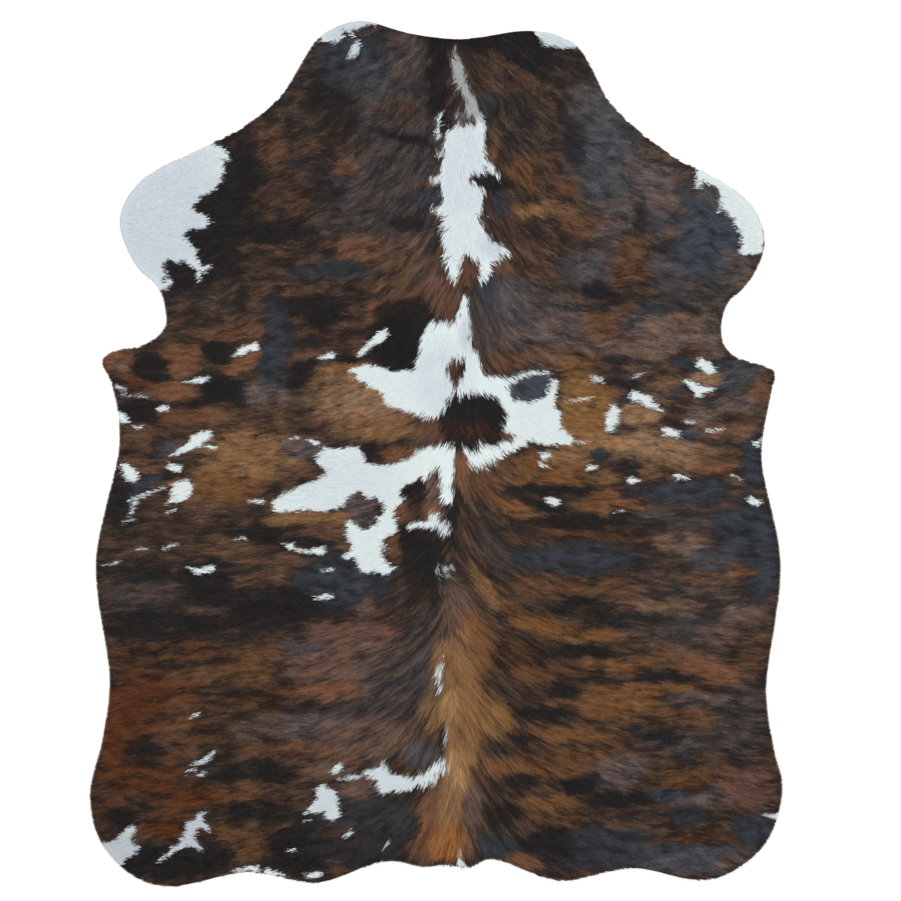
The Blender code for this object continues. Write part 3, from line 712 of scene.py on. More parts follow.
@dataclass
class HidePlan:
    """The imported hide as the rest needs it: its outline, the distance in from its cut, and its coat's top."""

    key_scale: float = 1e5
    floor_gap: float = 1e-5
    rim_part: float = 0.125
    rim_spacing: float = 0.006
    trim_wobble: float = 0.0005
    wobble: NoiseMix = NoiseMix(((1.0, 0.031, 11), (0.6, 0.009, 12)))
    edge_pitch: float = 0.005
    edge_cap: float = 0.060
    coat_pitch: float = 0.008
    cut_height: float = 0.0036
    ray_start: float = 1.0
    cut_hair: float = 0.0014
    inner_hair: float = 0.0010
    hair_rise: float = 0.014
    rim: np.ndarray = field(init=False)
    edge: PlanGrid = field(init=False)
    coat_top: PlanGrid = field(init=False)

    def __post_init__(self) -> None:
        """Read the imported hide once."""
        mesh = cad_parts["hide"].data
        places = mesh_points(mesh)
        corners = [tuple(face.vertices) for face in mesh.polygons]
        self.rim = self.smooth_rim(self.floor_loop(places, corners))
        self.edge = self.edge_distances()
        self.coat_top = self.coat_heights(places, corners)

    def floor_loop(self, places: np.ndarray, corners: list[tuple[int, ...]]) -> np.ndarray:
        """The outline where the hide meets the floor.

        Args:
            places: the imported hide's points.
            corners: the points of each of its faces.

        Returns:
            The outline's points once round, anticlockwise.
        """
        keys = [tuple(np.round(place[:2] * self.key_scale).astype(int)) for place in places]
        after = {}
        for face in corners:
            if max(abs(places[i][2]) for i in face) < self.floor_gap:
                for a, b in zip(face, face[1:] + face[:1]):
                    after.setdefault(keys[a], []).append(keys[b])
        border = {
            a: b for a, ends in after.items() for b in ends if a not in after.get(b, [])
        }
        start = next(iter(border))
        loop = [start]
        while border[loop[-1]] != start:
            loop.append(border[loop[-1]])
        loop = np.array(loop) / self.key_scale
        return loop if self.area(loop) > 0 else loop[::-1]

    @staticmethod
    def area(loop: np.ndarray) -> float:
        """The area within a loop, positive if it runs anticlockwise."""
        after = np.roll(loop, -1, 0)
        return float(np.sum(loop[:, 0] * after[:, 1] - after[:, 0] * loop[:, 1])) / 2

    def smooth_rim(self, loop: np.ndarray) -> np.ndarray:
        """The outline again, rounded between its points, evenly spaced, and with a hand-trimmed wobble.

        Args:
            loop: the outline's points once round.

        Returns:
            The finer outline.
        """
        before, after, later = np.roll(loop, 1, 0), np.roll(loop, -1, 0), np.roll(loop, -2, 0)
        steps = []  # along a Catmull-Rom curve through the loop's points
        for part in np.arange(0, 1, self.rim_part):
            square, cube = part * part, part * part * part
            steps.append(
                loop
                + 0.5 * part * (after - before)
                + 0.5 * square * (2 * before - 5 * loop + 4 * after - later)
                + 0.5 * cube * (3 * loop - before - 3 * after + later)
            )
        fine = np.stack(steps, 1).reshape(-1, 2)
        closed = np.vstack([fine, fine[:1]])
        passed = np.concatenate([[0], np.cumsum(np.linalg.norm(np.diff(closed, axis=0), axis=1))])
        count = round(passed[-1] / self.rim_spacing)
        wanted = np.arange(count) * passed[-1] / count
        even = np.stack([np.interp(wanted, passed, closed[:, k]) for k in (0, 1)], 1)
        wobble = self.wobble.at(even[:, 0], even[:, 1])
        return even - self.outward(even) * (self.trim_wobble * (1 + wobble))[:, None]

    @staticmethod
    def outward(loop: np.ndarray) -> np.ndarray:
        """The direction out of a loop at each of its points.

        Args:
            loop: the points, anticlockwise.

        Returns:
            One direction of length 1 for each of them.
        """
        along = np.roll(loop, -1, 0) - np.roll(loop, 1, 0)
        out = np.stack([along[:, 1], -along[:, 0]], 1)
        return out / np.linalg.norm(out, axis=1, keepdims=True)

    def edge_distances(self) -> PlanGrid:
        """How far in from the outline each place is: positive within it, negative outside.

        Returns:
            The distances, no further than edge_cap.
        """
        grid = PlanGrid(self.edge_pitch)
        near = np.full(grid.x.shape, self.edge_cap)
        inside = np.zeros(grid.x.shape, bool)
        for start, end in zip(self.rim, np.roll(self.rim, -1, 0)):
            middle = (start + end) / 2
            span = end - start
            cut = grid.window(middle[0], middle[1], self.edge_cap, self.edge_cap)
            x, y = grid.x[cut], grid.y[cut]
            part = np.clip(((x - start[0]) * span[0] + (y - start[1]) * span[1]) / (span @ span), 0, 1)
            distance = np.hypot(x - start[0] - part * span[0], y - start[1] - part * span[1])
            near[cut] = np.minimum(near[cut], distance)
            if start[1] != end[1]:
                rows = (grid.y[:, 0] > min(start[1], end[1])) & (grid.y[:, 0] <= max(start[1], end[1]))
                crossing = start[0] + span[0] * (grid.y[rows] - start[1]) / span[1]
                inside[rows] ^= grid.x[rows] > crossing
        grid.values = np.where(inside, near, -near)
        return grid

    def coat_heights(self, places: np.ndarray, corners: list[tuple[int, ...]]) -> PlanGrid:
        """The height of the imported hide's top.

        Args:
            places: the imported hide's points.
            corners: the points of each of its faces.

        Returns:
            The heights, with the cut edge's height outside the outline.
        """
        tree = BVHTree.FromPolygons([Vector(place) for place in places], corners)
        grid = PlanGrid(self.coat_pitch)
        grid.values[:] = self.cut_height
        down = Vector((0, 0, -1))
        inside = self.edge.at(grid.x, grid.y) > 0
        for row, column in np.argwhere(inside):
            start = Vector((grid.x[row, column], grid.y[row, column], self.ray_start))
            hit = tree.ray_cast(start, down)[0]
            if hit is not None:
                grid.values[row, column] = hit.z
        return grid

    def leather_top(self, x: np.ndarray, y: np.ndarray) -> np.ndarray:
        """The height of the leather with its dense underhair, below the coat's top."""
        under = self.cut_hair + self.inner_hair * smoothstep(0.0, self.hair_rise, self.edge.at(x, y))
        return self.coat_top.at(x, y) - under


@dataclass
class CoatLay:
    """Which way the hair lies: tailward along the spine, fanning out and down over the flanks."""

    wander: NoiseMix = NoiseMix(((0.014, 0.17, 21), (0.004, 0.06, 22)))
    waves: float = 0.016
    wave_noise: SoftNoise = SoftNoise(0.045, 23)
    tufts: NoiseMix = NoiseMix(((1.0, 0.034, 61), (1.0, 0.015, 62), (1.0, 0.007, 63)))
    slope_step: float = 0.002
    shortening: float = 1.6
    parting: float = 0.014
    crown_column: float = 445
    crown_row: float = 573
    crown_radius: float = 0.045
    crown_turn: float = 1.5

    def __post_init__(self) -> None:
        """Put the rows in order from the tail to the neck."""
        marks = LAY_MARKS[::-1]
        self.stations = np.array([PHOTO.y(mark.row) for mark in marks])
        self.spine = np.array([PHOTO.x(mark.spine_column) for mark in marks])
        self.fan = np.array([mark.fan for mark in marks])
        self.fan_width = np.array([mark.fan_width for mark in marks])
        self.slope = np.array([mark.flank_slope for mark in marks])
        self.ruffle = np.array([mark.ruffle for mark in marks])

    def from_spine(self, x: np.ndarray, y: np.ndarray) -> np.ndarray:
        """Metres from the spine line, positive to the right."""
        return x - np.interp(y, self.stations, self.spine)

    def across(self, x: np.ndarray, y: np.ndarray) -> np.ndarray:
        """A value that stays the same along each line of hair and grows towards the neck.

        Args:
            x: metres across the hide.
            y: metres along the hide.

        Returns:
            The line of hair through each place, as the station where it would leave the flank.
        """
        out = np.hypot(self.from_spine(x, y), self.parting) - self.parting
        fan = np.interp(y, self.stations, self.fan)
        width = np.interp(y, self.stations, self.fan_width)
        slope = np.interp(y, self.stations, self.slope)
        wander = self.wander.at(x, y)
        wander += self.waves * np.interp(y, self.stations, self.ruffle) * self.wave_noise.at(x, y)
        return y - fan * np.exp(-out / width) + slope * out + wander

    def angle(self, x: np.ndarray, y: np.ndarray) -> np.ndarray:
        """The direction that the hair points in.

        Args:
            x: metres across the hide.
            y: metres along the hide.

        Returns:
            Angles from +X, in radians.
        """
        step = self.slope_step
        out = self.from_spine(x, y)
        side = np.where(out < 0, -1.0, 1.0)
        rise_x = (self.across(x + step, y) - self.across(x - step, y)) / (2 * step)
        rise_y = (self.across(x, y + step) - self.across(x, y - step)) / (2 * step)
        tailward = -rise_x * side - np.exp(-np.abs(out) / self.parting)
        angle = np.arctan2(tailward, rise_y * np.tanh(out / self.parting))
        dx = x - PHOTO.x(self.crown_column)
        dy = y - PHOTO.y(self.crown_row)
        near = np.exp(-(dx * dx + dy * dy) / self.crown_radius**2)
        return angle + self.crown_turn * near

    def along(self, x: np.ndarray, y: np.ndarray) -> np.ndarray:
        """A value that grows along each line of hair, and faster where it is ruffled."""
        return self.from_spine(x, y) * (1 + self.shortening * np.interp(y, self.stations, self.ruffle))

    def swirl(self, x: np.ndarray, y: np.ndarray) -> np.ndarray:
        """How far tufts of hair turn anticlockwise out of the lay, in radians, more in the neck."""
        return np.interp(y, self.stations, self.ruffle) * self.tufts.at(x, y)


@dataclass
class HairLength:
    """How long the coat's hair is: short on the flanks, longer on the spine and longest towards the tail."""

    flank_length: float = 0.0155
    full_part: float = 0.25

    def at(self, lay: CoatLay, x: np.ndarray, y: np.ndarray) -> np.ndarray:
        """The hair's length at each place.

        Args:
            lay: where the spine runs.
            x: metres across the hide.
            y: metres along the hide.

        Returns:
            Lengths in metres.
        """
        marks = LENGTH_MARKS[::-1]
        stations = [PHOTO.y(mark.row) for mark in marks]
        length = np.interp(y, stations, [mark.spine_length for mark in marks])
        half_width = np.interp(y, stations, [mark.half_width for mark in marks])
        near = 1 - smoothstep(self.full_part, 1.0, np.abs(lay.from_spine(x, y)) / half_width)
        return self.flank_length + (length - self.flank_length) * near


@dataclass
class CoatPattern:
    """Where the coat is white, and the brindle's zones of tone under its black stripes."""

    white_pitch: float = 0.0025
    white_cap: float = 0.030
    white_wander_x: NoiseMix = NoiseMix(((0.0048, 0.016, 31), (0.0022, 0.006, 32)))
    white_wander_y: NoiseMix = NoiseMix(((0.0034, 0.014, 33), (0.0018, 0.006, 34)))
    tone_pitch: float = 0.006
    tone_wander_x: NoiseMix = NoiseMix(((0.012, 0.045, 41), (0.007, 0.018, 42)))
    tone_wander_y: NoiseMix = NoiseMix(((0.008, 0.035, 43), (0.004, 0.012, 44)))
    zone_core: float = 0.55
    zone_end: float = 1.45
    white: PlanGrid = field(init=False)
    tones: PlanGrid = field(init=False)
    shades: PlanGrid = field(init=False)

    def __post_init__(self) -> None:
        """Paint the three maps."""
        self.white = self.paint_white()
        self.tones = self.paint_tones()
        self.shades = self.paint_shades()

    def stroke_depth(self, grid: PlanGrid, stroke: Stroke) -> tuple[tuple[slice, slice], np.ndarray]:
        """How deep each place lies in a stroke.

        Args:
            grid: the places.
            stroke: the stroke, in pixels of the photograph.

        Returns:
            The grid's rows and columns round the stroke, and the depths there in metres.
        """
        x, y = PHOTO.x(stroke.column), PHOTO.y(stroke.row)
        span_x, span_y = PHOTO.x(stroke.end_column) - x, PHOTO.y(stroke.end_row) - y
        start, end = stroke.radius * PHOTO.pixel(), stroke.end_radius * PHOTO.pixel()
        reach = max(start, end) + self.white_cap
        cut = grid.window(x + span_x / 2, y + span_y / 2, abs(span_x) / 2 + reach, abs(span_y) / 2 + reach)
        dx, dy = grid.x[cut] - x, grid.y[cut] - y
        part = np.clip((dx * span_x + dy * span_y) / max(span_x**2 + span_y**2, NO_SPAN), 0, 1)
        depth = start + (end - start) * part - np.hypot(dx - part * span_x, dy - part * span_y)
        return cut, np.clip(depth, -self.white_cap, self.white_cap)

    def paint_white(self) -> PlanGrid:
        """Join the white strokes and cut the dark bays out of them.

        Returns:
            The depth of each place in the white hair: positive in it, negative outside.
        """
        grid = PlanGrid(self.white_pitch)
        grid.values[:] = -self.white_cap
        for stroke in chain(*WHITE_PATCHES.values(), *WHITE_FLECKS.values()):
            cut, depth = self.stroke_depth(grid, stroke)
            grid.values[cut] = np.maximum(grid.values[cut], depth)
        for stroke in chain(*DARK_BAYS.values()):
            cut, depth = self.stroke_depth(grid, stroke)
            grid.values[cut] = np.minimum(grid.values[cut], -depth)
        return grid

    def oval_share(
        self, grid: PlanGrid, mark: ToneMark | ShadeMark, tilt: float = 0.0
    ) -> tuple[tuple[slice, slice], np.ndarray]:
        """How much of an oval mark reaches each place.

        Args:
            grid: the places.
            mark: the oval, in pixels of the photograph.
            tilt: how far its long side runs downhill to the right, in degrees.

        Returns:
            The grid's rows and columns round the oval, and the shares there, from 0 to 1.
        """
        half_width, half_height = mark.half_width * PHOTO.pixel(), mark.half_height * PHOTO.pixel()
        x, y = PHOTO.x(mark.column), PHOTO.y(mark.row)
        reach = self.zone_end * max(half_width, half_height)
        cut = grid.window(x, y, reach, reach)
        turn = math.radians(tilt)
        dx, dy = grid.x[cut] - x, grid.y[cut] - y
        along = dx * math.cos(turn) - dy * math.sin(turn)
        aside = dx * math.sin(turn) + dy * math.cos(turn)
        out = np.hypot(along / half_width, aside / half_height)
        return cut, 1 - smoothstep(self.zone_core, self.zone_end, out)

    def paint_tones(self) -> PlanGrid:
        """Lay the tone marks over a dark brown, each over those before it.

        Returns:
            The brindle's zones, with a tone's five numbers at each place.
        """
        grid = PlanGrid(self.tone_pitch)
        grid.values = np.tile(Tone.DARK_BROWN.numbers, (*grid.x.shape, 1))
        for mark in chain(*TONE_MARKS.values()):
            cut, share = self.oval_share(grid, mark, mark.tilt)
            share = mark.strength * share[..., None]
            grid.values[cut] = grid.values[cut] * (1 - share) + mark.tone.numbers * share
        return grid

    def paint_shades(self) -> PlanGrid:
        """Lay the shade marks, each over those before it.

        Returns:
            How much painted shade, and past 1 grey roan, darkens the white hair at each place.
        """
        grid = PlanGrid(self.tone_pitch)
        for mark in SHADE_MARKS:
            cut, share = self.oval_share(grid, mark)
            grid.values[cut] = grid.values[cut] * (1 - share) + mark.shade * share
        return grid

    def white_at(self, x: np.ndarray, y: np.ndarray) -> np.ndarray:
        """The depth in the white hair at each place, with an uneven border."""
        return self.white.at(x + self.white_wander_x.at(x, y), y + self.white_wander_y.at(x, y))

    def tones_at(self, x: np.ndarray, y: np.ndarray) -> np.ndarray:
        """The brindle's zones at each place, with uneven borders."""
        return self.tones.at(x + self.tone_wander_x.at(x, y), y + self.tone_wander_y.at(x, y))


@dataclass
class Coat:
    """Everything that the leather and the hair are built on."""

    plan: HidePlan
    lay: CoatLay
    length: HairLength
    pattern: CoatPattern


class HairNoise(NamedTuple):
    """The grain of noise in the hair: its swells' size along the lay, across it and up, and its detail."""

    size: tuple[float, float, float]
    detail: float


class NodeBench:
    """Lays out shader nodes in a tree and joins them."""

    column_width = 220
    row_height = 260
    columns = 9
    roughness = 0.55
    first_colour, second_colour, mixed_colour = 6, 7, 2  # places of sockets whose names aren't unique

    def __init__(self, tree: bpy.types.NodeTree) -> None:
        """Take the tree to work in."""
        self.tree = tree
        self.placed = 0

    def node(
        self, kind: str, inputs: dict[str | int, object] | None = None, **settings: object
    ) -> bpy.types.Node:
        """Add a node.

        Args:
            kind: Blender's name for the node type.
            inputs: what goes into its inputs, by their names or places.
            settings: values for its properties.

        Returns:
            The node.
        """
        node = self.tree.nodes.new(kind)
        for name, value in settings.items():
            setattr(node, name, value)
        row, column = divmod(self.placed, self.columns)
        node.location = (self.column_width * column, -self.row_height * row)
        self.placed += 1
        self.fill(node, inputs or {})
        return node

    def fill(self, node: bpy.types.Node, inputs: dict[str | int, object]) -> None:
        """Give a node's inputs their values, or join them to other sockets.

        Args:
            node: the node.
            inputs: what goes into its inputs, by their names or places.
        """
        for name, value in inputs.items():
            if isinstance(value, bpy.types.NodeSocket):
                self.tree.links.new(value, node.inputs[name])
            else:
                node.inputs[name].default_value = value

    def math(
        self, operation: str, first: object, second: object, clamp: bool = False
    ) -> bpy.types.NodeSocket:
        """One sum of two values.

        Args:
            operation: Blender's name for it.
            first: a number or a socket.
            second: a number or a socket.
            clamp: whether the result is kept between 0 and 1.

        Returns:
            The result's socket.
        """
        node = self.node("ShaderNodeMath", {0: first, 1: second}, operation=operation, use_clamp=clamp)
        return node.outputs[0]

    def blend(self, share: object, first: object, second: object, kind: str = "MIX") -> bpy.types.NodeSocket:
        """Mix two colours.

        Args:
            share: how much of the second, a number or a socket.
            first: a colour or a socket.
            second: a colour or a socket.
            kind: Blender's name for the way they mix.

        Returns:
            The mixed colour's socket.
        """
        inputs = {"Factor": share, self.first_colour: first, self.second_colour: second}
        node = self.node("ShaderNodeMix", inputs, data_type="RGBA", blend_type=kind)
        return node.outputs[self.mixed_colour]

    def scale(self, colour: object, factor: object) -> bpy.types.NodeSocket:
        """A colour made lighter or darker by a factor."""
        inputs = {0: colour, "Scale": factor}
        return self.node("ShaderNodeVectorMath", inputs, operation="SCALE").outputs[0]

    def between(
        self, value: object, low: float, high: float, start: float = 0.0, end: float = 1.0
    ) -> bpy.types.NodeSocket:
        """A smooth step of a value from one number to another.

        Args:
            value: a socket.
            low: the value where the step starts.
            high: the value where it ends.
            start: the result at low.
            end: the result at high.

        Returns:
            The result's socket.
        """
        inputs = {"Value": value, "From Min": low, "From Max": high, "To Min": start, "To Max": end}
        return self.node("ShaderNodeMapRange", inputs, interpolation_type="SMOOTHSTEP").outputs["Result"]

    def noise(self, place: bpy.types.NodeSocket, grain: HairNoise) -> bpy.types.NodeSocket:
        """Cloudy noise, about 0 in its middle.

        Args:
            place: the coordinates, in metres.
            grain: its size and detail.

        Returns:
            The noise's socket, mostly within 0.3 of 0.
        """
        scaled = self.node("ShaderNodeVectorMath", {0: place, 1: grain.size}, operation="DIVIDE").outputs[0]
        inputs = {"Vector": scaled, "Scale": 1.0, "Detail": grain.detail, "Roughness": self.roughness}
        return self.math("SUBTRACT", self.node("ShaderNodeTexNoise", inputs).outputs["Fac"], 0.5)

    def bump(self, height: object, strength: float, distance: float) -> bpy.types.NodeSocket:
        """The normals of a surface with a fine relief of a height, a strength and a depth in metres."""
        inputs = {"Strength": strength, "Distance": distance, "Height": height}
        return self.node("ShaderNodeBump", inputs).outputs["Normal"]


class BrindleGroup:
    """The node group that colours hair: white patches over black stripes over lighter hair."""

    name = "brindle_coat"
    inputs = {
        "Light Hair": "NodeSocketColor",
        "Black Share": "NodeSocketFloat",
        "Painted Sheen": "NodeSocketFloat",
        "White Depth": "NodeSocketFloat",
        "Lay": "NodeSocketVector",
        "Strand": "NodeSocketFloat",
        "Reach": "NodeSocketFloat",
        "White Shade": "NodeSocketFloat",
        "Root Shade": "NodeSocketFloat",
        "Tip Light": "NodeSocketFloat",
        "Strand Spread": "NodeSocketFloat",
    }
    outputs = {
        "Color": "NodeSocketColor",
        "Roughness": "NodeSocketFloat",
        "White": "NodeSocketFloat",
        "Height": "NodeSocketFloat",
    }
    black = (0.0034, 0.0032, 0.0032, 1.0)
    # painted sheen: a bluish reflection of the sky painted onto the black hair
    frosted_black = (0.054, 0.068, 0.090, 1.0)
    cool_white = (0.73, 0.81, 0.82, 1.0)
    warm_white = (0.76, 0.82, 0.81, 1.0)
    # painted bluish shade on the white hair
    shaded_white = (0.60, 0.66, 0.71, 1.0)
    roan_white = (0.36, 0.38, 0.38, 1.0)
    red_cast = (1.10, 0.97, 0.88, 1.0)
    show_through = 0.15
    middle = 0.5
    streak, streak_gain = HairNoise((0.085, 0.021, 1.0), 3.0), 4.4
    fine, fine_gain = HairNoise((0.036, 0.0058, 1.0), 2.0), 2.4
    blotch, blotch_gain = HairNoise((0.105, 0.050, 1.0), 2.0), 2.2
    single_gain = 0.8
    share_gain = 2.3
    black_limit = 0.85
    fray, fray_depth = HairNoise((0.024, 0.0050, 1.0), 2.0), 0.0110
    single_depth = 0.0065
    white_from, white_to = -0.0016, 0.0046
    warmth, warmth_limit = HairNoise((0.060, 0.024, 1.0), 3.0), 0.16
    cloud, cloud_limit = HairNoise((0.040, 0.010, 1.0), 3.0), 0.25
    cloud_dark, cloud_light = 0.62, 1.42
    frost, frost_limit = HairNoise((0.050, 0.020, 1.0), 3.0), 0.20
    least_frost = 0.15
    soft, soft_limit = HairNoise((0.035, 0.009, 1.0), 3.0), 0.2
    bluish, roan = 1.0, 2.0
    white_calm = 0.80
    roughness, black_gloss, white_gloss = 0.52, -0.10, 0.10
    relief = HairNoise((0.012, 0.0011, 1.0), 2.0)

    def __init__(self) -> None:
        """Build the group once."""
        self.tree = bpy.data.node_groups.new(self.name, "ShaderNodeTree")
        for way, sockets in (("INPUT", self.inputs), ("OUTPUT", self.outputs)):
            for name, kind in sockets.items():
                self.tree.interface.new_socket(name, in_out=way, socket_type=kind)
        bench = NodeBench(self.tree)
        given = bench.node("NodeGroupInput").outputs
        black = self.black_mask(bench, given)
        white = self.white_mask(bench, given)
        dark = self.dark_coat(bench, given, black)
        self.finish(bench, given, dark, black, white)

    def black_mask(self, bench: NodeBench, given: bpy.types.NodeOutputs) -> bpy.types.NodeSocket:
        """Where black hair lies: streaks along the lay, blotches, and single hairs.

        Args:
            bench: where the nodes go.
            given: what the group is given.

        Returns:
            The mask's socket.
        """
        layers = (
            (bench.noise(given["Lay"], self.streak), self.streak_gain),
            (bench.noise(given["Lay"], self.fine), self.fine_gain),
            (bench.noise(given["Lay"], self.blotch), self.blotch_gain),
            (bench.math("SUBTRACT", given["Strand"], self.middle), self.single_gain),
        )
        share = bench.math("SUBTRACT", given["Black Share"], self.middle)
        total = bench.math("MULTIPLY", share, self.share_gain)
        for layer, gain in layers:
            total = bench.math("ADD", total, bench.math("MULTIPLY", layer, gain))
        return bench.between(total, -self.black_limit, self.black_limit)

    def white_mask(self, bench: NodeBench, given: bpy.types.NodeOutputs) -> bpy.types.NodeSocket:
        """Where the hair is white, with a frayed border.

        Args:
            bench: where the nodes go.
            given: what the group is given.

        Returns:
            The mask's socket.
        """
        fray = bench.math("MULTIPLY", bench.noise(given["Lay"], self.fray), self.fray_depth)
        single = bench.math("SUBTRACT", given["Strand"], self.middle)
        single = bench.math("MULTIPLY", single, self.single_depth)
        depth = bench.math("ADD", bench.math("ADD", given["White Depth"], fray), single)
        return bench.between(depth, self.white_from, self.white_to)

    def dark_coat(
        self, bench: NodeBench, given: bpy.types.NodeOutputs, black: bpy.types.NodeSocket
    ) -> bpy.types.NodeSocket:
        """The brindle without its white, with a painted bluish sheen on its black hair.

        Args:
            bench: where the nodes go.
            given: what the group is given.
            black: the black hair's mask.

        Returns:
            The colour's socket.
        """
        warmth = bench.between(bench.noise(given["Lay"], self.warmth), -self.warmth_limit, self.warmth_limit)
        tinted = bench.blend(1.0, given["Light Hair"], self.red_cast, "MULTIPLY")
        light = bench.blend(warmth, given["Light Hair"], tinted)
        cloud = bench.noise(given["Lay"], self.cloud)
        lift = bench.between(cloud, -self.cloud_limit, self.cloud_limit, self.cloud_dark, self.cloud_light)
        # Painted sheen: a bluish sky reflection mixed into the black hair's colour, as strongly as each zone's
        # number asks.
        frost = bench.noise(given["Lay"], self.frost)
        frost = bench.between(frost, -self.frost_limit, self.frost_limit, self.least_frost)
        shine = bench.math("MULTIPLY", frost, given["Painted Sheen"])
        dark = bench.blend(shine, self.black, self.frosted_black)
        dark = bench.blend(self.show_through, dark, light)
        return bench.blend(black, bench.scale(light, lift), dark)

    def finish(
        self,
        bench: NodeBench,
        given: bpy.types.NodeOutputs,
        dark: bpy.types.NodeSocket,
        black: bpy.types.NodeSocket,
        white: bpy.types.NodeSocket,
    ) -> None:
        """Lay the white over the brindle, paint shade at each hair's root and light at its tip, and fill the
        outputs.

        Args:
            bench: where the nodes go.
            given: what the group is given.
            dark: the brindle's colour.
            black: the black hair's mask.
            white: the white hair's mask.
        """
        lay, shade_and_roan = given["Lay"], given["White Shade"]
        soft = bench.between(bench.noise(lay, self.soft), -self.soft_limit, self.soft_limit)
        snow = bench.blend(soft, self.cool_white, self.warm_white)
        # painted bluish shade on the white hair up to 1, then grey roan towards 2
        snow = bench.blend(bench.math("MINIMUM", shade_and_roan, self.bluish), snow, self.shaded_white)
        snow = bench.blend(bench.between(shade_and_roan, self.bluish, self.roan), snow, self.roan_white)
        coat = bench.blend(white, dark, snow)
        spread = bench.math("SUBTRACT", given["Strand"], self.middle)
        spread = bench.math("MULTIPLY", spread, given["Strand Spread"])
        quiet = bench.math("SUBTRACT", 1.0, bench.math("MULTIPLY", white, self.white_calm))
        # painted shade towards each hair's root and painted light towards its tip
        ends = {"Factor": given["Reach"], "A": given["Root Shade"], "B": given["Tip Light"]}
        gradient = bench.node("ShaderNodeMix", ends, data_type="FLOAT").outputs["Result"]
        change = bench.math("ADD", bench.math("SUBTRACT", gradient, 1.0), spread)
        level = bench.math("ADD", 1.0, bench.math("MULTIPLY", change, quiet))
        gloss = bench.math("MULTIPLY", black, self.black_gloss)
        gloss = bench.math("ADD", gloss, bench.math("MULTIPLY", white, self.white_gloss))
        made = {
            "Color": bench.scale(coat, level),
            "Roughness": bench.math("ADD", self.roughness, gloss, clamp=True),
            "White": white,
            "Height": bench.noise(lay, self.relief),
        }
        bench.node("NodeGroupOutput", made)


def blank_material(name: str) -> tuple[bpy.types.Material, NodeBench, bpy.types.Node]:
    """A new material.

    Args:
        name: its name.

    Returns:
        The material, a bench for its nodes, and its main shader.
    """
    material = bpy.data.materials.new(name)
    material.use_nodes = True
    return material, NodeBench(material.node_tree), material.node_tree.nodes["Principled BSDF"]


@dataclass(frozen=True)
class HairFinish:
    """A finish of hair: the coat's own blades, or the dense underhair on the leather."""

    name: str
    # painted shade at the roots and painted light at the tips of the hair
    root_shade: float = 0.68
    tip_light: float = 1.13
    strand_spread: float = 0.22
    specular: float = 0.06
    bump_strength: float = 0.20
    bump_height: float = 0.0004

    def build(self, group: BrindleGroup) -> bpy.types.Material:
        """Make the material.

        Args:
            group: the node group that colours hair.

        Returns:
            The material.
        """
        material, bench, shader = blank_material(self.name)
        ground = bench.node("ShaderNodeAttribute", attribute_name="hair_ground")
        lay = bench.node("ShaderNodeAttribute", attribute_name="hair_lay")
        # the third number is the black hair's painted bluish sheen
        white_depth, black_share, frost = self.stored(bench, "hair_marks")
        strand, reach, white_shade = self.stored(bench, "hair_strand")
        given = {
            "Light Hair": ground.outputs["Color"],
            "White Depth": white_depth,
            "Black Share": black_share,
            "Painted Sheen": frost,
            "Lay": lay.outputs["Vector"],
            "Strand": strand,
            "Reach": reach,
            "White Shade": white_shade,
            "Root Shade": self.root_shade,
            "Tip Light": self.tip_light,
            "Strand Spread": self.strand_spread,
        }
        coat = bench.node("ShaderNodeGroup", given, node_tree=group.tree)
        surface = {
            "Base Color": coat.outputs["Color"],
            "Roughness": coat.outputs["Roughness"],
            "Normal": bench.bump(coat.outputs["Height"], self.bump_strength, self.bump_height),
            "Specular IOR Level": self.specular,
        }
        bench.fill(shader, surface)
        return material

    @staticmethod
    def stored(bench: NodeBench, name: str) -> list[bpy.types.NodeSocket]:
        """The sockets of three numbers that the mesh holds under one name."""
        triple = bench.node("ShaderNodeAttribute", attribute_name=name).outputs["Vector"]
        return list(bench.node("ShaderNodeSeparateXYZ", {0: triple}).outputs)


@dataclass(frozen=True)
class SuedeFinish:
    """The napped flesh side of the leather, and its cut edge."""

    name: str = "tan_suede"
    light: tuple[float, float, float, float] = (0.42, 0.31, 0.21, 1.0)
    dark: tuple[float, float, float, float] = (0.25, 0.17, 0.11, 1.0)
    cloud: HairNoise = HairNoise((0.16, 0.16, 0.16), 5.0)
    cloud_limit: float = 0.2
    nap: HairNoise = HairNoise((0.0022, 0.0022, 0.0022), 3.0)
    nap_gain: float = 0.6
    nap_limit: float = 0.3
    smooth: float = 0.82
    rough: float = 0.96
    bump_strength: float = 0.5
    bump_height: float = 0.0006
    specular: float = 0.15

    def build(self) -> bpy.types.Material:
        """Make the material.

        Returns:
            The material.
        """
        material, bench, shader = blank_material(self.name)
        place = bench.node("ShaderNodeTexCoord").outputs["Object"]
        cloud = bench.between(bench.noise(place, self.cloud), -self.cloud_limit, self.cloud_limit)
        nap = bench.noise(place, self.nap)
        tone = bench.math("ADD", cloud, bench.math("MULTIPLY", nap, self.nap_gain), clamp=True)
        surface = {
            "Base Color": bench.blend(tone, self.dark, self.light),
            "Roughness": bench.between(nap, -self.nap_limit, self.nap_limit, self.smooth, self.rough),
            "Normal": bench.bump(nap, self.bump_strength, self.bump_height),
            "Specular IOR Level": self.specular,
        }
        bench.fill(shader, surface)
        return material


@dataclass(frozen=True)
class PaintFinish:
    """A plain matt surface for the studio floor."""

    name: str
    shade: float
    roughness: float = 0.9
    specular: float = 0.0

    def build(self) -> bpy.types.Material:
        """Make the material.

        Returns:
            The material.
        """
        material, bench, shader = blank_material(self.name)
        surface = {
            "Base Color": (*[self.shade] * 3, 1.0),
            "Roughness": self.roughness,
            "Specular IOR Level": self.specular,
        }
        bench.fill(shader, surface)
        return material


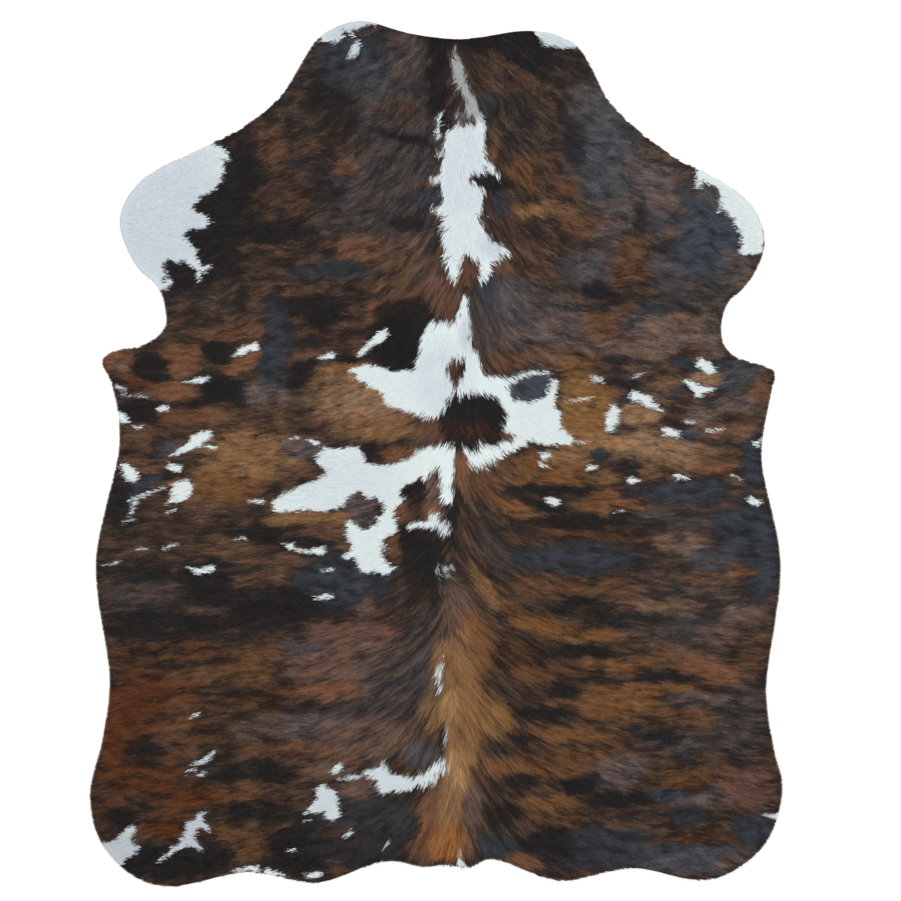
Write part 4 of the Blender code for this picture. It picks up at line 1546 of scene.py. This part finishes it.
def add_values(mesh: bpy.types.Mesh, name: str, values: np.ndarray) -> None:
    """Store a triple of numbers, or a colour, at each point of a mesh.

    Args:
        mesh: the mesh.
        name: what the materials read it by.
        values: three numbers for each point, or four for a colour.
    """
    kind, part = ("FLOAT_COLOR", "color") if values.shape[1] == 4 else ("FLOAT_VECTOR", "vector")
    stored = mesh.attributes.new(name, kind, "POINT")
    stored.data.foreach_set(part, values.astype(np.float32).ravel())


def coat_values(coat: Coat, x: np.ndarray, y: np.ndarray) -> tuple[np.ndarray, np.ndarray, np.ndarray]:
    """What the hair's materials read at a place.

    Args:
        coat: the coat's maps.
        x: metres across the hide.
        y: metres along the hide.

    Returns:
        The light hair's colours; white depth, black share and the black's painted sheen; and the places along
        and across the lay.
    """
    # the fifth number of each tone is the painted bluish sheen on its black hair
    red, green, blue, black_share, frost = coat.pattern.tones_at(x, y).T
    ground = np.stack([red, green, blue, np.ones(len(x))], 1)
    marks = np.stack([coat.pattern.white_at(x, y), black_share, frost], 1)
    lay = np.stack([coat.lay.along(x, y), coat.lay.across(x, y), np.zeros(len(x))], 1)
    return ground, marks, lay


def settle(thing: bpy.types.Object) -> None:
    """Put a finished piece of the hide in the scene and in the frame.

    Args:
        thing: the piece.
    """
    bpy.context.collection.objects.link(thing)
    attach(thing, "root")
    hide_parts("hide")
    LOG.info("%s: %d faces", thing.name, len(thing.data.polygons))


@dataclass
class Leather:
    """The tanned hide itself: one closed sheet with suede below, a cut edge, and underhair above."""

    coat: Coat
    inset: float = 0.0030
    edge_profile: tuple[tuple[float, float], ...] = ((0.0010, 0.0), (0.0, 0.0007), (0.0002, 0.0016))
    top_ring: float = 0.0012
    top_step: float = 0.0095
    top_clear: float = 0.004
    bottom_step: float = 0.032
    bottom_clear: float = 0.016
    row_step: float = 0.866
    jitter: float = 0.22
    jitter_pitch: float = 1.3
    jitter_seeds: tuple[int, int] = (51, 52)
    sharp_degrees: float = 50.0
    tufts: SoftNoise = SoftNoise(0.004, 53)

    def ring(self, inset: float) -> np.ndarray:
        """The outline moved in by the leather's inset and a little more."""
        rim = self.coat.plan.rim
        return rim - HidePlan.outward(rim) * (self.inset + inset)

    def staggered(self, step: float, clear: float) -> np.ndarray:
        """Staggered points over the hide, clear of its edge.

        Args:
            step: metres between them.
            clear: how far in from the outline they start.

        Returns:
            The points.
        """
        xs = np.arange(HIDE_LOW.x, HIDE_HIGH.x, step)
        ys = np.arange(HIDE_LOW.y, HIDE_HIGH.y, step * self.row_step)
        x, y = np.meshgrid(xs, ys)
        x[1::2] += step / 2
        x, y = x.ravel(), y.ravel()
        noise_x, noise_y = (SoftNoise(step * self.jitter_pitch, seed) for seed in self.jitter_seeds)
        x = x + self.jitter * step * noise_x.at(x, y)
        y = y + self.jitter * step * noise_y.at(x, y)
        kept = self.coat.plan.edge.at(x, y) > clear
        return np.stack([x[kept], y[kept]], 1)

    @staticmethod
    def fill(ring: np.ndarray, inner: np.ndarray) -> list[tuple[int, ...]]:
        """Triangles between a closed ring and the points within it.

        Args:
            ring: the ring's points.
            inner: the points within it.

        Returns:
            The triangles, as indexes into the ring's points followed by the inner ones.
        """
        points = [Vector(point) for point in np.vstack([ring, inner])]
        count = len(ring)
        edges = [(i, (i + 1) % count) for i in range(count)]
        made = delaunay_2d_cdt(points, edges, [list(range(count))], INSIDE_ONLY, SAME_POINT)
        return [tuple(face) for face in made[2]]

    def build(self) -> bpy.types.Object:
        """Make the sheet's mesh.

        Returns:
            The sheet, with its suede faces in the second material slot.
        """
        plan = self.coat.plan
        rings = [(self.ring(inset), height) for inset, height in self.edge_profile]
        top_ring = self.ring(self.top_ring)
        count = len(top_ring)
        bottom_inner = self.staggered(self.bottom_step, self.inset + self.bottom_clear)
        top_inner = self.staggered(self.top_step, self.inset + self.top_ring + self.top_clear)
        places = [np.column_stack([ring, np.full(count, height)]) for ring, height in rings]
        top = np.vstack([top_ring, top_inner])
        places.append(np.column_stack([top, plan.leather_top(top[:, 0], top[:, 1])]))
        places.append(np.column_stack([bottom_inner, np.zeros(len(bottom_inner))]))
        top_start = count * len(rings)
        bottom_start = top_start + len(top)

        faces = []
        for level in range(len(rings)):
            low, high = level * count, (level + 1) * count
            for i in range(count):
                after = (i + 1) % count
                faces.append((low + i, low + after, high + after, high + i))
        for face in self.fill(rings[0][0], bottom_inner):
            moved = [i if i < count else i - count + bottom_start for i in face]
            faces.append(tuple(reversed(moved)))
        suede_count = len(faces)
        faces += [tuple(i + top_start for i in face) for face in self.fill(top_ring, top_inner)]

        mesh = bpy.data.meshes.new("leather_and_underhair")
        mesh.from_pydata(np.vstack(places).tolist(), [], faces)
        slots = np.zeros(len(faces), np.int32)
        slots[:suede_count] = 1
        mesh.polygons.foreach_set("material_index", slots)
        mesh.shade_smooth()
        mesh.set_sharp_from_angle(angle=math.radians(self.sharp_degrees))
        self.store_values(mesh)
        mesh.update()
        return bpy.data.objects.new("leather_and_underhair", mesh)

    def store_values(self, mesh: bpy.types.Mesh) -> None:
        """Store what the underhair's material reads at each point.

        Args:
            mesh: the sheet's mesh.
        """
        x, y = mesh_points(mesh)[:, :2].T
        ground, marks, lay = coat_values(self.coat, x, y)
        tuft = 0.5 + 0.5 * self.tufts.at(x, y)
        add_values(mesh, "hair_ground", ground)
        add_values(mesh, "hair_marks", marks)
        add_values(mesh, "hair_lay", lay)
        shade = self.coat.pattern.shades.at(x, y)
        # a reach of 0 gives the whole underhair its root's painted shade
        add_values(mesh, "hair_strand", np.stack([tuft, np.zeros(len(x)), shade], 1))

    def dress(
        self, thing: bpy.types.Object, underhair: bpy.types.Material, suede: bpy.types.Material
    ) -> None:
        """Args:
            thing: the sheet.
            underhair: for its upper face.
            suede: for its underside and cut edge.
        """
        thing.data.materials.append(underhair)
        thing.data.materials.append(suede)
        settle(thing)
        area = abs(HidePlan.area(self.coat.plan.rim))


@dataclass
class HairBand:
    """One lengthwise band of the coat: blades of hair rooted between two distances off the spine."""

    coat: Coat
    name: str
    start: float
    end: float
    seed: int
    pitch: float = 0.0030
    border_waves: tuple[tuple[float, float, float], ...] = ((0.010, 41.0, 0.0), (0.006, 97.0, 1.0))
    root_sink: float = 0.0003
    lowest: float = 0.0009
    edge_clear: float = 0.0042
    overhang: float = 0.0005
    least_kept: float = 0.25
    spread: float = 0.13
    length_spread: float = 0.22
    length_limits: tuple[float, float] = (0.5, 1.6)
    tip_depth: float = 0.0017
    droop: float = 0.35
    droop_from: float = 0.004
    droop_limit: float = 0.01
    width: float = 0.0022
    width_spread: float = 0.18
    width_limits: tuple[float, float] = (0.6, 1.5)
    long_hair: float = 0.016
    longest_hair: float = 0.03
    widening: float = 6.0
    widening_reach: float = 0.2
    roll: float = 0.22
    belly_parts: tuple[float, float] = (0.38, 0.55)
    belly_rise: float = 0.62
    belly_lift: float = 0.0002
    sample_parts: tuple[float, float] = (0.35, 0.95)
    corner_parts: tuple[float, ...] = (0.0, 0.5, 1.0, 0.5)
    cell_corners: tuple[tuple[float, float], ...] = ((0.5, 0.03), (0.97, 0.5), (0.5, 0.97), (0.03, 0.5))

    def roots(self, chance: np.random.Generator) -> np.ndarray:
        """Where this band's blades are rooted.

        Args:
            chance: the band's random numbers.

        Returns:
            The places, in rows from the tail to the neck.
        """
        xs = np.arange(HIDE_LOW.x, HIDE_HIGH.x, self.pitch)
        ys = np.arange(HIDE_LOW.y, HIDE_HIGH.y, self.pitch)
        x, y = np.meshgrid(xs, ys)
        x[1::2] += self.pitch / 2
        out = self.coat.lay.from_spine(x, y)
        wave = sum(depth * np.sin(y * turns + start) for depth, turns, start in self.border_waves)
        kept = (out + wave >= self.start) & (out + wave < self.end)
        x, y = x[kept], y[kept]
        x = x + chance.uniform(-0.5, 0.5, len(x)) * self.pitch
        y = y + chance.uniform(-0.5, 0.5, len(y)) * self.pitch
        inside = self.coat.plan.edge.at(x, y) > self.edge_clear
        return np.stack([x[inside], y[inside]], 1)

    def tips(self, roots: np.ndarray, chance: np.random.Generator) -> np.ndarray:
        """Where the blades end, kept within the hide's outline.

        Args:
            roots: where they start.
            chance: the band's random numbers.

        Returns:
            The places.
        """
        x, y = roots.T
        count = len(x)
        uneven = chance.normal(1, self.length_spread, count).clip(*self.length_limits)
        length = self.coat.length.at(self.coat.lay, x, y) * uneven
        angle = self.coat.lay.angle(x, y) + chance.normal(0, self.spread, count)
        angle += self.coat.lay.swirl(x, y)
        reach = np.stack([np.cos(angle), np.sin(angle)], 1) * length[:, None]
        edge = self.coat.plan.edge
        start = edge.at(x, y) + self.overhang
        end = edge.at(x + reach[:, 0], y + reach[:, 1]) + self.overhang
        kept = np.where(end < 0, start / np.maximum(start - end, SAME_POINT), 1.0)
        kept = kept.clip(self.least_kept, 1.0)
        return roots + reach * kept[:, None]

    def heights(
        self, roots: np.ndarray, tips: np.ndarray, chance: np.random.Generator
    ) -> tuple[np.ndarray, np.ndarray]:
        """How high the blades start and end.

        Args:
            roots: where they start.
            tips: where they end.
            chance: the band's random numbers.

        Returns:
            The heights of the roots and of the tips.
        """
        plan = self.coat.plan
        low = plan.leather_top(*roots.T) - self.root_sink
        droop = self.droop * np.clip(self.droop_from - plan.edge.at(*tips.T), 0, self.droop_limit)
        high = plan.coat_top.at(*tips.T) - chance.uniform(0.0, self.tip_depth, len(tips)) - droop
        return low, np.maximum(high, self.lowest)

    def build(self) -> bpy.types.Object:
        """Make the band's mesh, a kite of two triangles for each blade.

        Returns:
            The band.
        """
        chance = np.random.default_rng(self.seed)
        roots = self.roots(chance)
        tips = self.tips(roots, chance)
        low, high = self.heights(roots, tips, chance)
        count = len(roots)
        reach = tips - roots
        length = np.linalg.norm(reach, axis=1)
        right = np.stack([reach[:, 1], -reach[:, 0]], 1) / length[:, None]
        uneven = chance.normal(1, self.width_spread, count).clip(*self.width_limits)
        longer = np.clip(length - self.long_hair, 0, self.longest_hair)
        half = 0.5 * self.width * uneven * (1 + self.widening * longer / self.widening_reach)
        lift = half * np.sin(chance.normal(0, self.roll, count))
        belly = roots + reach * chance.uniform(*self.belly_parts, count)[:, None]
        belly_height = low + (high - low) * self.belly_rise + self.belly_lift
        places = np.empty((count, len(self.corner_parts), 3))
        places[:, 0] = np.column_stack([roots, low])
        places[:, 1] = np.column_stack([belly + right * half[:, None], belly_height + lift])
        places[:, 2] = np.column_stack([tips, high])
        places[:, 3] = np.column_stack([belly - right * half[:, None], belly_height - lift])
        places[:, :, 2] = places[:, :, 2].clip(self.lowest, HIDE_HIGH.z)
        mesh = self.kites(places)
        sampled = roots + reach * chance.uniform(*self.sample_parts, count)[:, None]
        self.store_values(mesh, sampled, chance)
        mesh.update()
        return bpy.data.objects.new(self.name, mesh)

    def kites(self, places: np.ndarray) -> bpy.types.Mesh:
        """A mesh of separate four-cornered faces, each with its own cell of the bake map.

        Args:
            places: four corners for each face.

        Returns:
            The mesh.
        """
        count, sides = places.shape[:2]
        points = count * sides
        mesh = bpy.data.meshes.new(self.name)
        mesh.vertices.add(points)
        mesh.vertices.foreach_set("co", places.astype(np.float32).ravel())
        mesh.loops.add(points)
        mesh.loops.foreach_set("vertex_index", np.arange(points, dtype=np.int32))
        mesh.polygons.add(count)
        mesh.polygons.foreach_set("loop_start", np.arange(0, points, sides, dtype=np.int32))
        mesh.update(calc_edges=True)
        across = math.ceil(math.sqrt(count))
        cell = 1.0 / across
        column, row = np.arange(count) % across, np.arange(count) // across
        cells = (np.stack([column, row], 1)[:, None, :] + np.array(self.cell_corners)[None]) * cell
        layer = mesh.uv_layers.new(name="OFBake")
        layer.data.foreach_set("uv", cells.astype(np.float32).ravel())
        return mesh

    def store_values(self, mesh: bpy.types.Mesh, sampled: np.ndarray, chance: np.random.Generator) -> None:
        """Store what the hair's material reads, the same at each corner of a blade.

        Args:
            mesh: the band's mesh.
            sampled: the place that gives each blade its colour.
            chance: the band's random numbers.
        """
        count, sides = len(sampled), len(self.corner_parts)
        ground, marks, lay = coat_values(self.coat, *sampled.T)
        strand = np.zeros((count, sides, 3))
        strand[:, :, 0] = chance.uniform(0, 1, count)[:, None]
        strand[:, :, 1] = self.corner_parts
        strand[:, :, 2] = self.coat.pattern.shades.at(*sampled.T)[:, None]
        for name, values in (("hair_ground", ground), ("hair_marks", marks), ("hair_lay", lay)):
            add_values(mesh, name, np.repeat(values, sides, axis=0))
        add_values(mesh, "hair_strand", strand.reshape(-1, 3))

    def dress(self, thing: bpy.types.Object, hair: bpy.types.Material) -> None:
        """Give the band its finish and place it in the frame."""
        thing.data.materials.append(hair)
        settle(thing)


@dataclass
class Studio:
    """A pale floor, soft light all round and from above, and the camera straight over the hide."""

    floor_half: float = 9.0
    floor_drop: float = 0.0004
    floor_shade: float = 0.96
    lens: float = 85.0
    sensor: float = 36.0
    sight: float = 100.0
    sky_strength: float = 0.64
    lamp_power: float = 180.0
    lamp_size: float = 4.5
    lamp_place: tuple[float, float, float] = (-0.4, 1.0, 5.2)

    def build_floor(self) -> None:
        """Lay the floor just under the hide."""
        half = self.floor_half
        mesh = bpy.data.meshes.new("studio_floor")
        corners = [(-half, -half, 0), (half, -half, 0), (half, half, 0), (-half, half, 0)]
        mesh.from_pydata(corners, [], [range(len(corners))])
        floor = bpy.data.objects.new("studio_floor", mesh)
        floor.location.z = HIDE_LOW.z - self.floor_drop
        mesh.materials.append(PaintFinish("pale_floor", self.floor_shade).build())
        bpy.context.collection.objects.link(floor)

    def build_light(self) -> None:
        """Hang the sky and one large soft lamp."""
        world = bpy.data.worlds.new("studio_sky")
        world.use_nodes = True
        sky = world.node_tree.nodes["Background"]
        sky.inputs["Color"].default_value = (1.0, 1.0, 1.0, 1.0)
        sky.inputs["Strength"].default_value = self.sky_strength
        bpy.context.scene.world = world
        lamp = bpy.data.lights.new("soft_lamp", "AREA")
        lamp.energy = self.lamp_power
        lamp.size = self.lamp_size
        holder = bpy.data.objects.new("soft_lamp", lamp)
        holder.location = self.lamp_place
        holder.rotation_euler = (-Vector(self.lamp_place)).to_track_quat("-Z", "Y").to_euler()
        bpy.context.collection.objects.link(holder)

    def build_camera(self) -> None:
        """Hang the camera over the middle of the photograph's frame, looking straight down."""
        width = PHOTO.picture_width * PHOTO.pixel()
        camera = bpy.data.cameras.new("camera")
        camera.lens = self.lens
        camera.sensor_width = self.sensor
        camera.clip_end = self.sight
        holder = bpy.data.objects.new("camera", camera)
        height = width * self.lens / self.sensor
        holder.location = (PHOTO.x(PHOTO.middle), PHOTO.y(PHOTO.middle), height)
        bpy.context.collection.objects.link(holder)
        bpy.context.scene.camera = holder
        bpy.context.scene.view_settings.view_transform = "Standard"


BANDS = (
    ("hair_left_belly", -2.0, -0.620),
    ("hair_left_flank", -0.620, -0.350),
    ("hair_left_back", -0.350, -0.085),
    ("hair_spine", -0.085, 0.085),
    ("hair_right_back", 0.085, 0.330),
    ("hair_right_flank", 0.330, 0.580),
    ("hair_right_belly", 0.580, 2.0),
)
FIRST_SEED = 101


def main() -> None:
    """Build the studio, the leather and the coat."""
    logging.basicConfig(level=logging.INFO, format="%(message)s")
    studio = Studio()
    studio.build_camera()
    studio.build_light()
    studio.build_floor()

    coat = Coat(HidePlan(), CoatLay(), HairLength(), CoatPattern())
    group = BrindleGroup()
    hair = HairFinish(name="brindle_hair").build(group)
    # The underhair is all root, so its root shade darkens it all over: painted shade under the blades.
    underhair = HairFinish(
        name="brindle_underhair",
        root_shade=0.55,
        tip_light=0.80,
        strand_spread=0.30,
        specular=0.08,
        bump_strength=0.60,
        bump_height=0.0008,
    ).build(group)
    suede = SuedeFinish().build()

    leather = Leather(coat)
    leather.dress(leather.build(), underhair, suede)
    for seed, (name, start, end) in enumerate(BANDS, start=FIRST_SEED):
        band = HairBand(coat, name, start, end, seed)
        band.dress(band.build(), hair)


if __name__ == "__main__":
    main()
